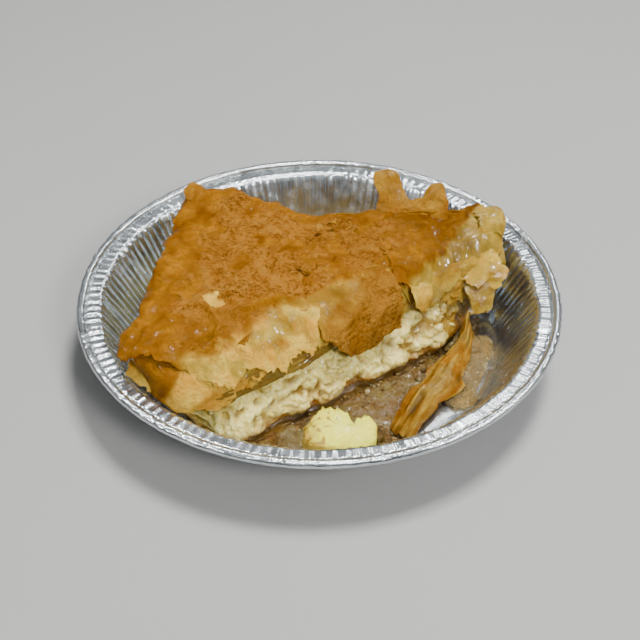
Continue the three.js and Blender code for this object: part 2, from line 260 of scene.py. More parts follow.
def side_point(along, climb, push):
    """A point on the side of the folded leaves: climb 0 is the lip, 1 the skin's edge."""
    edge, top, out, lip_height, outward = ring_at(along)
    lip = edge + outward * out[..., None]
    share = np.sign(climb) * np.abs(climb) ** 1.4
    plan = lip + (edge - lip) * share[..., None]
    bulge = 1.2 * np.sin(np.pi * unit(climb)) + push
    plan += outward * bulge[..., None]
    return xyz(plan[..., 0], plan[..., 1], mix(lip_height, top, climb))


def outline_distance(s, t):
    """How far inside the skin's outline a plan point lies, below zero outside it."""
    corners = RING[::4, :2]
    ends = np.roll(corners, -1, 0)
    nearest = np.full(s.shape, 1e6)
    crossed = np.zeros(s.shape, bool)
    for (s0, t0), (s1, t1) in zip(corners, ends):
        ds = s1 - s0
        dt = t1 - t0
        part = unit(((s - s0) * ds + (t - t0) * dt) / (ds * ds + dt * dt))
        nearest = np.minimum(nearest, (s - s0 - part * ds) ** 2 + (t - t0 - part * dt) ** 2)
        spans = (t0 > t) != (t1 > t)
        level = s0 + (t - t0) * ds / (dt if abs(dt) > 1e-9 else 1e-9)
        crossed ^= spans & (s < level)
    return np.sqrt(nearest) * np.where(crossed, 1, -1)


def skin_height(s, t):
    """Height of the browned skin."""
    reach = (s[..., None] - POSTS[:, 0]) ** 2 + (t[..., None] - POSTS[:, 1]) ** 2 + 90
    level = (POSTS[:, 2] / reach).sum(-1) / (1 / reach).sum(-1)
    swell = 1.6 * hump(s, t, -28, 14, 24, 18) + 0.9 * hump(s, t, 26, -4, 16, 9)
    swell += 2.2 * hump(s, t, 2, 46, 10, 9) + 1.2 * hump(s, t, 9, 30, 7, 8)
    swell += 2.6 * hump(s, t, 61, -10, 5, 5)
    dip = -1.8 * hump(s, t, 9, 17, 10, 8) - 1.2 * hump(s, t, -48, -3, 9, 5)
    return level + swell + dip + 0.6 * noise(xyz(s, t) * 0.13, 11)


def custard_height(s):
    """Height of the custard's top along the piece."""
    return 21 - 3.5 * smooth(s, 10, 55)


def front_foot(s):
    """Where the cut face meets the floor."""
    wobble = 0.9 * noise(xyz(s * 0.11, 0, 0), 21) + 0.5 * noise(xyz(s * 0.4, 0, 0), 22)
    return -27.5 - 0.113 * s + 7 * smooth(s, 22, 48) + wobble


def foot_and_shoulder(along):
    """Foot and top edge of the custard's side."""
    edge, _, out, _, outward = ring_at(along)
    lip = edge + outward * out[..., None]
    foot = edge + outward * (np.maximum(out, -6) - 2)[..., None]
    front = smooth(out, 2, 5)
    foot[..., 1] = mix(foot[..., 1], front_foot(foot[..., 0]), front)
    reach = np.linalg.norm(foot, axis=-1)
    foot *= np.minimum(1, (FLOOR_RADIUS + 0.8) / reach)[..., None]
    shoulder = mix(lip, MIDDLE, 0.22)
    return foot, shoulder, outward


# Mesh making

def add_mesh(name, points, faces, material, replaced, fields):
    """One piece of the object, riding on the dish."""
    mesh = bpy.data.meshes.new(name)
    mesh.from_pydata((points * MM).tolist(), [], faces)
    for field_name, values in fields.items():
        layer = mesh.attributes.new(field_name, "FLOAT", "POINT")
        layer.data.foreach_set("value", np.asarray(values, np.float32).ravel())
    mesh.polygons.foreach_set("use_smooth", np.ones(len(mesh.polygons), bool))
    mesh.materials.append(material)
    mesh.update()
    piece = bpy.data.objects.new(name, mesh)
    bpy.context.scene.collection.objects.link(piece)
    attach(piece, "root")
    if replaced:
        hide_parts(replaced)


def closed_rows(rows):
    """Points and faces of a closed body from rows that go round it, its two ends single points."""
    turn = len(rows[1])
    points = np.concatenate([rows[0][:1], *rows[1:-1], rows[-1][:1]])
    count = len(rows) - 2
    step = np.arange(turn)
    ahead = (step + 1) % turn
    faces = []
    for row in range(count - 1):
        low = 1 + row * turn
        high = low + turn
        faces.extend(np.stack([low + step, low + ahead, high + ahead, high + step], 1).tolist())
    last = 1 + (count - 1) * turn
    tip = len(points) - 1
    faces.extend(np.stack([np.zeros(turn, int), 1 + ahead, 1 + step], 1).tolist())
    faces.extend(np.stack([last + step, last + ahead, np.full(turn, tip)], 1).tolist())
    return points, faces


def sheet(name, size, place, mask, thickness, material, fields, replaced=None):
    """A thin sheet over two numbers from 0 to 1, kept where its mask is above zero.

    mask, place and fields take the two numbers as arrays; the edge follows mask = 0.
    """
    nu, nv = size
    u, v = np.meshgrid(np.linspace(0, 1, nu), np.linspace(0, 1, nv), indexing="ij")
    level = mask(u, v)
    slope_u, slope_v = np.gradient(level)
    steep = slope_u ** 2 + slope_v ** 2 + 1e-9
    kept = level > 0
    pull = np.where(kept, 0, -level / steep)
    u = unit(u + np.clip(pull * slope_u, -1, 1) / (nu - 1))
    v = unit(v + np.clip(pull * slope_v, -1, 1) / (nv - 1))
    top = place(u, v)
    normal = np.cross(np.gradient(top, axis=0), np.gradient(top, axis=1))
    normal /= np.linalg.norm(normal, axis=-1)[..., None] + 1e-12
    low = top - normal * thickness
    cells = kept[:-1, :-1] | kept[1:, :-1] | kept[1:, 1:] | kept[:-1, 1:]
    i, j = np.nonzero(cells)
    at = np.arange(nu * nv).reshape(nu, nv)
    quads = np.stack([at[i, j], at[i + 1, j], at[i + 1, j + 1], at[i, j + 1]], 1)
    edges = np.concatenate([quads[:, [k, (k + 1) % 4]] for k in range(4)])
    there = edges[:, 0] * (nu * nv) + edges[:, 1]
    back = edges[:, 1] * (nu * nv) + edges[:, 0]
    rim = edges[~np.isin(there, back)]
    used = np.unique(quads)
    new = np.full(nu * nv, -1)
    new[used] = np.arange(len(used))
    count = len(used)
    quads = new[quads]
    rim = new[rim]
    walls = np.stack([rim[:, 1], rim[:, 0], rim[:, 0] + count, rim[:, 1] + count], 1)
    faces = np.concatenate([quads, quads[:, ::-1] + count, walls]).tolist()
    points = np.concatenate([top.reshape(-1, 3)[used], low.reshape(-1, 3)[used]])
    values = {}
    for field_name, fill in fields.items():
        one = np.broadcast_to(fill(u, v), u.shape).ravel()[used]
        values[field_name] = np.concatenate([one, one])
    add_mesh(name, points, faces, material, replaced, values)


# Materials

def set_inputs(node, constants):
    """Constant inputs of a node, an underscore standing for a space in an input's name."""
    for key, value in constants.items():
        node.inputs[key.replace("_", " ")].default_value = value


def add_node(tree, kind, links, **constants):
    """A new node with some inputs linked and some constant."""
    node = tree.nodes.new("ShaderNode" + kind)
    set_inputs(node, constants)
    for key, value in links.items():
        tree.links.new(value, node.inputs[key])
    return node


def shader(name, **constants):
    """A new node material with its Principled shader."""
    material = bpy.data.materials.new(name)
    material.use_nodes = True
    tree = material.node_tree
    principled = tree.nodes["Principled BSDF"]
    set_inputs(principled, constants)
    return material, tree, principled


def object_place(tree):
    """Where a point is on the object."""
    return add_node(tree, "TexCoord", {}).outputs["Object"]


def object_noise(tree, scale, detail, distortion=0.0):
    """Noise fixed to the object, as a number from 0 to 1."""
    links = {"Vector": object_place(tree)}
    texture = add_node(tree, "TexNoise", links, Scale=scale, Detail=detail, Distortion=distortion)
    return texture.outputs["Fac"]


def arithmetic(tree, operation, *values):
    """A sum on linked numbers."""
    node = add_node(tree, "Math", dict(enumerate(values)))
    node.operation = operation
    return node.outputs[0]


def wiggles(tree, scale, width):
    """Thin wandering lines fixed to the object: 1 on a line, 0 off it."""
    middle = ramp(tree, object_noise(tree, scale, 3, 1.2), 0.0, 1.0, -0.5, 0.5)
    return ramp(tree, arithmetic(tree, "ABSOLUTE", middle), 0.0, width, 1.0, 0.0)


def flakes(tree, scale):
    """Small crumbs, each with a lightness of its own, from 0 to about a half."""
    texture = add_node(tree, "TexVoronoi", {"Vector": object_place(tree)}, Scale=scale)
    split = add_node(tree, "SeparateColor", {"Color": texture.outputs["Color"]})
    return ramp(tree, split.outputs["Red"], 0.35, 1.0, 0.0, 0.4)


def field(tree, name):
    """A number stored on the mesh."""
    node = add_node(tree, "Attribute", {})
    node.attribute_name = name
    return node.outputs["Fac"]


def ramp(tree, value, low, high, first=0.0, second=1.0):
    """A number stretched so that low becomes the first number and high the second."""
    limits = {"From_Min": low, "From_Max": high, "To_Min": first, "To_Max": second}
    return add_node(tree, "MapRange", {"Value": value}, **limits).outputs["Result"]


def both(tree, first, second):
    """Two numbers multiplied."""
    return arithmetic(tree, "MULTIPLY", first, second)


def blend(tree, part, first, second):
    """A colour between two, each a plain colour or another node's output."""
    node = tree.nodes.new("ShaderNodeMix")
    node.data_type = "RGBA"
    tree.links.new(part, node.inputs[0])
    for socket, colour in ((node.inputs[6], first), (node.inputs[7], second)):
        if isinstance(colour, tuple):
            socket.default_value = (*colour, 1)
        else:
            tree.links.new(colour, socket)
    return node.outputs[2]


def bump(tree, principled, height, distance, strength):
    """Fine relief on the surface."""
    node = add_node(tree, "Bump", {"Height": height}, Distance=distance, Strength=strength)
    tree.links.new(node.outputs["Normal"], principled.inputs["Normal"])


def pale_leaf(tree, soaked, patch, crackle):
    """Colour of a leaf that isn't browned: specked and crackled where dry, deeper where soaked."""
    specks = ramp(tree, object_noise(tree, 620, 2), 0.66, 0.72, 0.0, 0.75)
    dry = blend(tree, patch, (0.68, 0.32, 0.03), (0.86, 0.54, 0.085))
    dry = blend(tree, specks, dry, (0.40, 0.15, 0.010))
    dry = blend(tree, ramp(tree, crackle, 0.0, 1.0, 0.0, 0.3), dry, (0.42, 0.17, 0.012))
    wet = blend(tree, patch, (0.30, 0.172, 0.010), (0.62, 0.415, 0.058))
    return blend(tree, soaked, dry, wet)


def browned_leaf(tree, soaked, patch, crackle, fine):
    """Colour of a browned leaf: crumbly and crackled where dry, amber where soaked."""
    tan = ramp(tree, object_noise(tree, 240, 7, 0.8), 0.48, 0.58, 0.0, 0.7)
    dry = blend(tree, ramp(tree, fine, 0.40, 0.62), (0.19, 0.064, 0.004), (0.345, 0.134, 0.015))
    dry = blend(tree, tan, dry, (0.39, 0.172, 0.024))
    dry = blend(tree, flakes(tree, 620), dry, (0.42, 0.178, 0.020))
    dry = blend(tree, crackle, dry, (0.06, 0.016, 0.001))
    wet = blend(tree, patch, (0.17, 0.055, 0.0003), (0.37, 0.145, 0.005))
    return blend(tree, soaked, dry, wet)


def filo_material():
    """Filo leaves: pale to browned, and dry and crackled to soaked and glassy."""
    material, tree, principled = shader(
        "filo", Roughness=0.4, Coat_Roughness=0.03,
        Subsurface_Weight=0.14, Subsurface_Scale=0.0014, Subsurface_Radius=(1.0, 0.5, 0.16),
        Specular_IOR_Level=0.08, Specular_Tint=(1.0, 0.6, 0.15, 1),
    )
    fine = object_noise(tree, 1150, 8)
    broad = object_noise(tree, 150, 5, 0.5)
    soaked = field(tree, "soaked")
    brown = field(tree, "brown")
    patch = ramp(tree, broad, 0.34, 0.66)
    crackle = both(tree, wiggles(tree, 330, 0.03), ramp(tree, broad, 0.40, 0.56))
    pale = pale_leaf(tree, soaked, patch, crackle)
    colour = blend(tree, brown, pale, browned_leaf(tree, soaked, patch, crackle, fine))
    # Dark blend: real burnt spots and cracks, and painted shade on leaf ends under the overhang and on
    # the under-leaves
    colour = blend(tree, field(tree, "burn_and_shade"), colour, (0.03, 0.009, 0.001))
    tree.links.new(colour, principled.inputs["Base Color"])
    tree.links.new(ramp(tree, soaked, 0.0, 1.0, 0.6, 0.4), principled.inputs["Roughness"])
    gloss = both(tree, ramp(tree, soaked, 0.2, 1.0), ramp(tree, brown, 0.0, 0.8, 0.62, 0.05))
    tree.links.new(gloss, principled.inputs["Coat Weight"])
    smear = ramp(tree, object_noise(tree, 300, 2, 0.4), 0.0, 1.0, 0.3, 0.7)
    height = blend(tree, soaked, fine, smear)
    height = blend(tree, ramp(tree, crackle, 0.0, 1.0, 0.0, 0.6), height, (0, 0, 0))
    bump(tree, principled, height, 0.0008, 0.8)
    return material


def custard_material(name, deep, light, wet):
    """Moist curdled custard, with painted shade in its hollows and under the leaves, shiny where it is
    wet.
    """
    material, tree, principled = shader(
        name, Roughness=0.36, Coat_Roughness=0.12, Specular_IOR_Level=0.3,
        Subsurface_Weight=0.2, Subsurface_Scale=0.0012, Subsurface_Radius=(1.0, 0.75, 0.25),
    )
    fine = object_noise(tree, 800, 7)
    broad = object_noise(tree, 140, 5, 0.4)
    colour = blend(tree, ramp(tree, fine, 0.35, 0.65), deep, light)
    colour = blend(tree, ramp(tree, broad, 0.54, 0.74, 0.0, 0.45), colour, (0.60, 0.38, 0.04))
    # Painted shade: deeper colour blended in where the custard lies in hollows or under the leaves
    colour = blend(tree, field(tree, "hollow_shade"), colour, (0.30, 0.175, 0.012))
    colour = blend(tree, field(tree, "rind"), colour, (0.30, 0.12, 0.012))
    tree.links.new(colour, principled.inputs["Base Color"])
    tree.links.new(ramp(tree, broad, 0.42, 0.6, wet, 0.0), principled.inputs["Coat Weight"])
    bump(tree, principled, fine, 0.0009, 0.8)
    return material


def soaked_material():
    """Bottom leaves soaked to a pulp in syrup."""
    material, tree, principled = shader(
        "soaked_base", Roughness=0.3, Coat_Weight=0.5, Coat_Roughness=0.04,
        Subsurface_Weight=0.15, Subsurface_Scale=0.0015, Subsurface_Radius=(1.0, 0.6, 0.25),
    )
    broad = object_noise(tree, 130, 6, 0.6)
    fine = object_noise(tree, 520, 7)
    colour = blend(tree, ramp(tree, broad, 0.3, 0.7), (0.07, 0.05, 0.014), (0.25, 0.185, 0.055))
    colour = blend(tree, ramp(tree, fine, 0.56, 0.72), colour, (0.40, 0.30, 0.12))
    # The brown field: browned pulp, and along the custard's foot painted shadow too
    colour = blend(tree, field(tree, "brown"), colour, (0.14, 0.068, 0.007))
    tree.links.new(colour, principled.inputs["Base Color"])
    bump(tree, principled, fine, 0.0014, 0.9)
    return material


def syrup_material(name, deep, light, clear):
    """Clear amber syrup."""
    material, tree, principled = shader(name, Roughness=0.02, Transmission_Weight=clear, IOR=1.30)
    broad = object_noise(tree, 90, 3)
    ripple = object_noise(tree, 560, 4)
    colour = blend(tree, ramp(tree, broad, 0.3, 0.7), deep, light)
    tree.links.new(colour, principled.inputs["Base Color"])
    bump(tree, principled, ripple, 0.0016, 1.0)
    return material


def foil_material():
    """Bright rolled foil with faint handling marks, and a painted darker reflection on the wall."""
    material, tree, principled = shader("bright_foil", Roughness=0.24, Metallic=0.95)
    marks = object_noise(tree, 260, 5)
    fine = object_noise(tree, 1500, 4)
    colour = blend(tree, ramp(tree, marks, 0.3, 0.7), (0.54, 0.575, 0.59), (0.74, 0.785, 0.805))
    # Painted reflection: the wall is darker and bluer, most at the right
    colour = blend(tree, field(tree, "wall"), colour, (0.46, 0.51, 0.57))
    tree.links.new(colour, principled.inputs["Base Color"])
    tree.links.new(ramp(tree, marks, 0.35, 0.7, 0.15, 0.30), principled.inputs["Roughness"])
    bump(tree, principled, fine, 0.00012, 0.35)
    return material


def floor_material():
    """Plain pale studio floor."""
    material, tree, principled = shader("studio_floor", Roughness=0.75, Specular_IOR_Level=0.2)
    broad = object_noise(tree, 6, 2)
    colour = blend(tree, broad, (0.42, 0.415, 0.405), (0.46, 0.455, 0.445))
    tree.links.new(colour, principled.inputs["Base Color"])
    return material


# Foil dish

def pleat_wave(turn, seed):
    """Uneven folds round the dish: each pleat rises slowly and falls steeply."""
    place = turn / (2 * np.pi) * PLEATS
    place += 0.22 * np.sin(3 * turn + 1.0) + 0.18 * np.sin(7 * turn)
    index = np.floor(place)
    part = place - index
    cell = xyz(index % PLEATS, 0, 0)
    crest = 0.45 + 0.4 * lattice(cell, seed)
    depth = 0.45 + 0.75 * lattice(cell, seed + 1)
    rise = np.where(part < crest, part / crest, (1 - part) / (1 - crest))
    return (rise - 0.5) * depth


def dish_profile():
    """Radius and height along the foil, then how much it pleats outwards, upwards and crinkles."""
    bead = (RIM_RADIUS + LEDGE_OUTER) / 2
    half = (RIM_RADIUS - LEDGE_OUTER) / 2
    bead_mid = LEDGE_HEIGHT + BEAD_HEIGHT * 0.6 - BEAD_HEIGHT / 2
    floor = [(r, 0.5, 0, 0, 0) for r in (20, 40, 46.3)]
    floor += [(47.6, 1.2, 0, 0, 0.1), (51.6, 0.5, 0, 0, 0.1)]
    floor += [(FLOOR_RADIUS, 0.85, 0.05, 0, 0.2), (55.8, 1.0, 0.1, 0, 0.3)]
    wall = []
    for climb in np.linspace(0, 1, 15):
        radius = mix(CORNER_RADIUS, LEDGE_INNER - 0.6, climb)
        height = mix(CORNER_HEIGHT, LEDGE_HEIGHT - 0.9, climb)
        wall.append((radius, height, 0.25 + 0.75 * climb, 0, 1))
    ledge = [(LEDGE_INNER, LEDGE_HEIGHT - 0.35, 0.8, 0.3, 1)]
    for part in np.linspace(0, 1, 6):
        ledge.append((mix(LEDGE_INNER + 0.5, LEDGE_OUTER - 0.5, part), LEDGE_HEIGHT, 0.2, 1, 0.6))
    ledge.append((LEDGE_OUTER - 0.15, LEDGE_HEIGHT - 0.35, 0, 0.6, 0.5))
    roll = []
    for turn in np.linspace(-0.15, 1.35, 12):
        angle = np.pi * (1 - turn)
        roll.append((bead + half * np.cos(angle), bead_mid + BEAD_HEIGHT / 2 * np.sin(angle), 0, 0, -1))
    roll.append((LEDGE_OUTER + 0.2, bead_mid - 0.4, 0, 0, 0))
    back = [(r, z - FOIL, a, b, c) for r, z, a, b, c in floor]
    back += [(r + 0.42, z - 0.3, a, b, c) for r, z, a, b, c in wall]
    back += [(r, z - FOIL, a, b, c) for r, z, a, b, c in ledge]
    return np.array(floor + wall + ledge + roll + back[::-1])


def foil_dish(material):
    """Pleated wall and ledge with a crinkled rolled bead."""
    steps = 6 * PLEATS
    turn = np.arange(steps) * 2 * np.pi / steps
    fold = pleat_wave(turn, 3)
    rows = []
    wall = []
    for radius, height, outwards, upwards, crinkle in dish_profile():
        on_wall = float(CORNER_HEIGHT < height < LEDGE_HEIGHT - 0.8)
        # Share of painted darker reflection on the wall, strongest at the right
        wall.append(on_wall * (0.15 + 0.85 * smooth(np.cos(turn), 0.3, 0.9)))
        around = xyz(70 * np.cos(turn), 70 * np.sin(turn), height)
        dent = 0.28 * rough(around * 0.11, 3, 41) * abs(crinkle)
        wrinkle = 0.10 * rough(around * xyz(1.1, 1.1, 0.25), 3, 43) * abs(crinkle)
        reach = radius + 0.62 * outwards * fold + dent * (crinkle > 0) + 0.5 * wrinkle
        rise = height + 0.46 * upwards * fold + wrinkle * (upwards > 0)
        if crinkle < 0:
            rope = 0.13 * noise(xyz(turn * 62, height * 0.3, 0), 47)
            rope += 0.05 * noise(xyz(turn * 150, height, 3), 49)
            reach += rope
            rise += rope
        rise = np.maximum(rise, 0.02 if height > 0.2 else 0)
        reach = np.minimum(reach, RIM_RADIUS + 0.3)
        rows.append(xyz(reach * np.cos(turn), reach * np.sin(turn), rise))
    rows = [xyz(np.zeros(1), np.zeros(1), 0.5)] + rows + [xyz(np.zeros(1), np.zeros(1), 0.0)]
    points, faces = closed_rows(rows[::-1])
    fields = {"wall": np.concatenate([np.zeros(1), *wall[::-1], np.zeros(1)])}
    add_mesh("foil_dish_pleated", points, faces, material, "foil_dish", fields)


# Custard

def custard_face(along, climb):
    """Points of the custard's craggy side, with the painted shade of each: deepest in hollows, near the
    top under the leaves and towards the narrow end.
    """
    foot, shoulder, outward = foot_and_shoulder(along)
    plan = mix(foot, shoulder, (climb ** 1.35)[..., None])
    height = mix(3.65, custard_height(plan[..., 0]), climb)
    flat = xyz(plan[..., 0], plan[..., 1], height)
    bent = wander(flat, 4.0, 59)
    lumps = curds(bent * xyz(0.12, 0.12, 0.17), 61)
    middle = curds(bent * xyz(0.27, 0.27, 0.36), 63)
    small = curds(bent * xyz(0.6, 0.6, 0.75), 64)
    broken = smooth(noise(flat * 0.16, 66), -0.25, 0.35)
    grit = rough(flat * 1.0, 3, 69)
    crag = 4.2 * (lumps - 0.68) + 0.45 * grit
    crag += (0.4 + 0.6 * broken) * (2.6 * (middle - 0.68) + 1.0 * (small - 0.68))
    pits = smooth(noise(flat * xyz(0.3, 0.3, 0.5), 72), 0.25, 0.6) * (1.6 - smooth(plan[..., 0], -5, 10))
    crag += 1.2 * noise(flat * 0.1, 71) - pits
    fade = smooth(climb, -0.10, 0.12) * (1 - 0.85 * smooth(climb, 0.78, 0.96))
    moved = plan + outward * (crag * fade - 0.25)[..., None]
    lift = height + (0.8 * broken * (middle - 0.6) + 1.0 * (lumps - 0.6)) * fade
    # Painted shade near the top, under the overhanging leaves, and towards the narrow end, where more of
    # the face is shaded
    shaded = 0.9 * smooth(climb, 0.7, 1.0) + 2.0 * smooth(plan[..., 0], -4, 18)
    hollow_shade = smooth(shaded - 1.8 * crag + 0.9 * grit, -0.5, 2.1)
    return xyz(moved[..., 0], moved[..., 1], lift), hollow_shade


def custard_filling(material):
    """Curdled custard with its crags on the cut face."""
    around = 800
    along = np.arange(around) * RING_LENGTH / around
    shoulder = foot_and_shoulder(along)[1]
    none = np.zeros(around)
    layers = [(xyz(MIDDLE[:1], MIDDLE[1:], 3.6), none[:1], none[:1])]
    for climb in np.linspace(0, 1, 56):
        points, deep = custard_face(along, np.full(around, climb))
        stain = smooth(noise(points * 0.3, 73), 0.1, 0.6) + 1.2 * smooth(0.16 - climb, 0, 0.16)
        layers.append((points, deep, unit(0.6 * stain * smooth(0.5 - climb, 0, 0.5))))
    for share in (0.6, 0.3):
        plan = mix(MIDDLE, shoulder, share)
        layers.append((xyz(plan[:, 0], plan[:, 1], custard_height(plan[:, 0])), none, none))
    layers.append((xyz(MIDDLE[:1], MIDDLE[1:], 21.0), none[:1], none[:1]))
    rows, hollow_shade, rind = zip(*layers)
    points, faces = closed_rows(rows)
    fields = {"hollow_shade": np.concatenate(hollow_shade), "rind": np.concatenate(rind)}
    points = inside_wall(to_dish(points), 0.8)
    add_mesh("custard_curds", points, faces, material, "custard_filling", fields)


def round_power(value, power):
    """A power that keeps the sign, for boxes with rounded corners."""
    return np.sign(value) * np.abs(value) ** power


# Fallen lump: half sizes, middle and slope, then its back edge as place along it and reach
LUMP_HALF = (10.2, 6.8, 3.9)
LUMP_CENTRE = (6.2, -49.6, 6.7)
LUMP_SLOPE = 0.22
LUMP_EDGE = [
    (-1, 0.1), (-0.8, 0.55), (-0.62, 1.0), (-0.5, 1.2), (-0.42, 0.96), (-0.27, 1.1), (-0.16, 0.86),
    (-0.02, 1.02), (0.1, 0.7), (0.19, 0.8), (0.3, 0.36), (0.38, 0.18), (0.46, 0.56), (0.58, 0.5),
    (0.72, 0.76), (0.9, 0.6),
]


def custard_lump(material):
    """Fallen lump: a flat bright cut face with torn, browned edges behind and at the left."""
    half_length, half_depth, half_height = LUMP_HALF
    turns = 230
    turn = np.arange(turns) * 2 * np.pi / turns
    torn = unit(smooth(np.sin(turn), -0.1, 0.5) + smooth(-np.cos(turn), 0.55, 0.95))
    steps = np.arange(0, 64)
    teeth = np.interp(turn, steps * 0.1, lattice(xyz(steps, 0, 0), 87)) - 0.5
    teeth += 0.7 * curds(xyz(turn * 3.2, 0, 0), 88) - 0.45
    rows = []
    hollow_shade = []
    rind = []
    for lift in np.linspace(-np.pi / 2, np.pi / 2, 84):
        side = round_power(np.cos(lift), 0.27)
        reach = side * (1 + 0.16 * torn * teeth)
        x = half_length * round_power(np.cos(turn), 0.62) * reach
        y = half_depth * round_power(np.sin(turn), 0.62) * reach
        y = np.where(y > 0, y * read_off(LUMP_EDGE, x / half_length), y)
        z = half_height * round_power(np.sin(lift), 0.3) + LUMP_SLOPE * y
        p = xyz(x, y, z) + np.array(LUMP_CENTRE)
        crumb = curds(p * 0.8, 81) - 0.6
        edge = torn * smooth(side, 0.3, 1.0)
        rim = smooth(side, 0.80, 0.97) * smooth(-x, -1, 5) + smooth(-x - 0.3 * y, 5.5, 8.5)
        swell = 0.2 * noise(p * 0.25, 83) + crumb * (0.12 + 1.0 * edge)
        outward = xyz(x, y, 2.5 * z)
        outward = outward / (np.linalg.norm(outward, axis=1)[:, None] + 1e-9)
        rows.append(inside_wall(p + outward * swell[:, None], 0.9))
        # Painted shade in the hollows of the torn crumbly edges
        hollow_shade.append(np.clip(-0.5 * crumb * edge, 0, 0.3))
        spots = 0.9 * smooth(noise(p * 0.75, 84), 0.5, 0.62) * smooth(-x, -3, 3)
        rind.append(np.clip(rim * (0.6 + 0.4 * noise(p * 0.5, 85)) + spots, 0, 0.8))
    points, faces = closed_rows(rows)
    fields = {}
    for field_name, values in (("hollow_shade", hollow_shade), ("rind", rind)):
        fields[field_name] = np.concatenate([values[0][:1], *values[1:-1], values[-1][:1]])
    add_mesh("custard_lump_torn", points, faces, material, "custard_lump", fields)


def unit_ball():
    """Points and faces of a small faceted ball."""
    ball = bmesh.new()
    bmesh.ops.create_icosphere(ball, subdivisions=2, radius=1.0)
    points = np.array([v.co[:] for v in ball.verts])
    faces = np.array([[v.index for v in f.verts] for f in ball.faces])
    ball.free()
    return points, faces


def crumbs(name, material, centres, sizes, flat, fields, seed):
    """Many small uneven lumps as one piece."""
    ball, ball_faces = unit_ball()
    points = []
    faces = []
    for index, (centre, size) in enumerate(zip(centres, sizes)):
        uneven = 1 + 0.5 * rough(ball * 1.1 + index * 7.1, 2, seed)
        stretch = 0.65 + 0.7 * lattice(xyz(index, np.arange(3), 0), seed + 1)
        one = ball * uneven[:, None] * size * stretch
        one[:, 2] *= flat
        faces.append(ball_faces + index * len(ball))
        points.append(one + centre)
    points = np.concatenate(points)
    values = {key: np.full(len(points), value) for key, value in fields.items()}
    add_mesh(name, points, np.concatenate(faces).tolist(), material, None, values)


def custard_crumbs(material):
    """Curds that stand out of the cut face."""
    count = 70
    pick = [lattice(xyz(np.arange(count), k, 0), 91) for k in range(4)]
    along = mix(6, 96, pick[0] ** 1.3)
    climb = mix(0.1, 0.9, pick[1])
    sizes = 0.4 + 1.5 * pick[2] ** 2
    centres = custard_face(along, climb)[0]
    outward = foot_and_shoulder(along)[2]
    centres = centres - xyz(outward[:, 0], outward[:, 1]) * (0.35 * sizes)[:, None]
    # A fixed share of painted shade, so the curds match the shaded custard round them
    fields = {"hollow_shade": 0.3, "rind": 0.0}
    crumbs("custard_crumbs", material, to_dish(centres), sizes, 0.75, fields, 93)


def custard_gel(material):
    """Clear yellow smear beside the lump."""
    centres = np.array([(17.6, -45.2, 3.2), (19.6, -47.0, 3.4), (21.2, -48.9, 3.8), (16.9, -43.0, 2.8)])
    sizes = np.array([2.4, 2.7, 2.1, 1.6])
    crumbs("custard_gel", material, centres, sizes, 0.6, {}, 95)


# Folded leaves

# Torn hems of the hanging leaves, as place round the piece and climb, and where browning begins
FRONT_HEM = [
    (-15, 0.12), (-4, 0.1), (-1, 0.16), (2, 0.08), (4.5, -0.03), (9, 0.0), (13.5, 0.14), (17, 0.26),
    (27, 0.33), (40, 0.32), (64, 0.24),
]
FRONT_AMBER = [(-15, -0.2), (-2, -0.15), (2.5, 0.75), (64, 0.86)]
NARROW_HEM = [(74, -0.1), (80, -0.2), (89, -0.08), (95, -0.25), (109, -0.32), (116, -0.22), (127, -0.05)]


def slanted(flat):
    """Places turned so that folds run down the face at a slant."""
    across = flat[..., 0]
    down = flat[..., 1]
    return xyz(0.8 * across + 0.6 * down, 0.8 * down - 0.6 * across, 0)


def lowered(hem, share):
    """A hem that ends lower, for a leaf under another."""
    return [(along, climb * share - 0.06 * (1 - share)) for along, climb in hem]


def leaf_body(material):
    """The stack of leaves under the skin, with the ends of its leaves as ledges."""
    around = 500
    along = np.arange(around) * RING_LENGTH / around
    shoulder = foot_and_shoulder(along)[1]
    edge = ring_at(along)[0]
    rows = [xyz(MIDDLE[:1], MIDDLE[1:], 21.4)]
    for share in (0.5, 1.0):
        plan = mix(MIDDLE, shoulder, share)
        rows.append(xyz(plan[:, 0], plan[:, 1], custard_height(plan[:, 0]) + 0.35))
    for climb in np.linspace(0, 0.9, 42):
        up = np.full(around, climb)
        flat = wander(xyz(along, climb * 14, 0), 3.0, 90)
        ply = (climb * 13 + 1.2 * noise(xyz(along * 0.05, climb * 2, 0), 91)) % 1.0
        ledge = 0.9 * (np.sqrt(unit(1 - ply)) - 0.65)
        fold = 0.7 * noise(flat * xyz(0.16, 0.12, 1), 93) + 0.14 * rough(flat * xyz(0.9, 0.5, 1), 2, 95)
        rows.append(side_point(along, up, ledge + fold - 0.7))
    for share in (0.97, 0.8, 0.55, 0.3):
        plan = mix(MIDDLE, edge, share)
        rows.append(xyz(plan[:, 0], plan[:, 1], skin_height(plan[:, 0], plan[:, 1]) - 2.2))
    rows.append(xyz(MIDDLE[:1], MIDDLE[1:], 30.0))
    points, faces = closed_rows(rows)
    climb = unit((points[:, 2] - 17) / 14)
    narrow = smooth(points[:, 0], 12, 30)
    fields = {
        "brown": unit(0.8 * smooth(climb, 0.72, 0.9) + 0.1 * noise(points * 0.25, 97)),
        "soaked": unit(0.8 + 0.25 * noise(points * 0.15, 99)),
        # Painted shade: the lower leaf ends, under the overhanging leaves, are darkened, less at the
        # narrow end
        "burn_and_shade": 0.62 * smooth(0.62 - climb, 0, 0.25) * (1 - 0.7 * narrow),
    }
    points = to_dish(points)
    add_mesh("leaf_stack", points, faces, material, "pastry_top", fields)


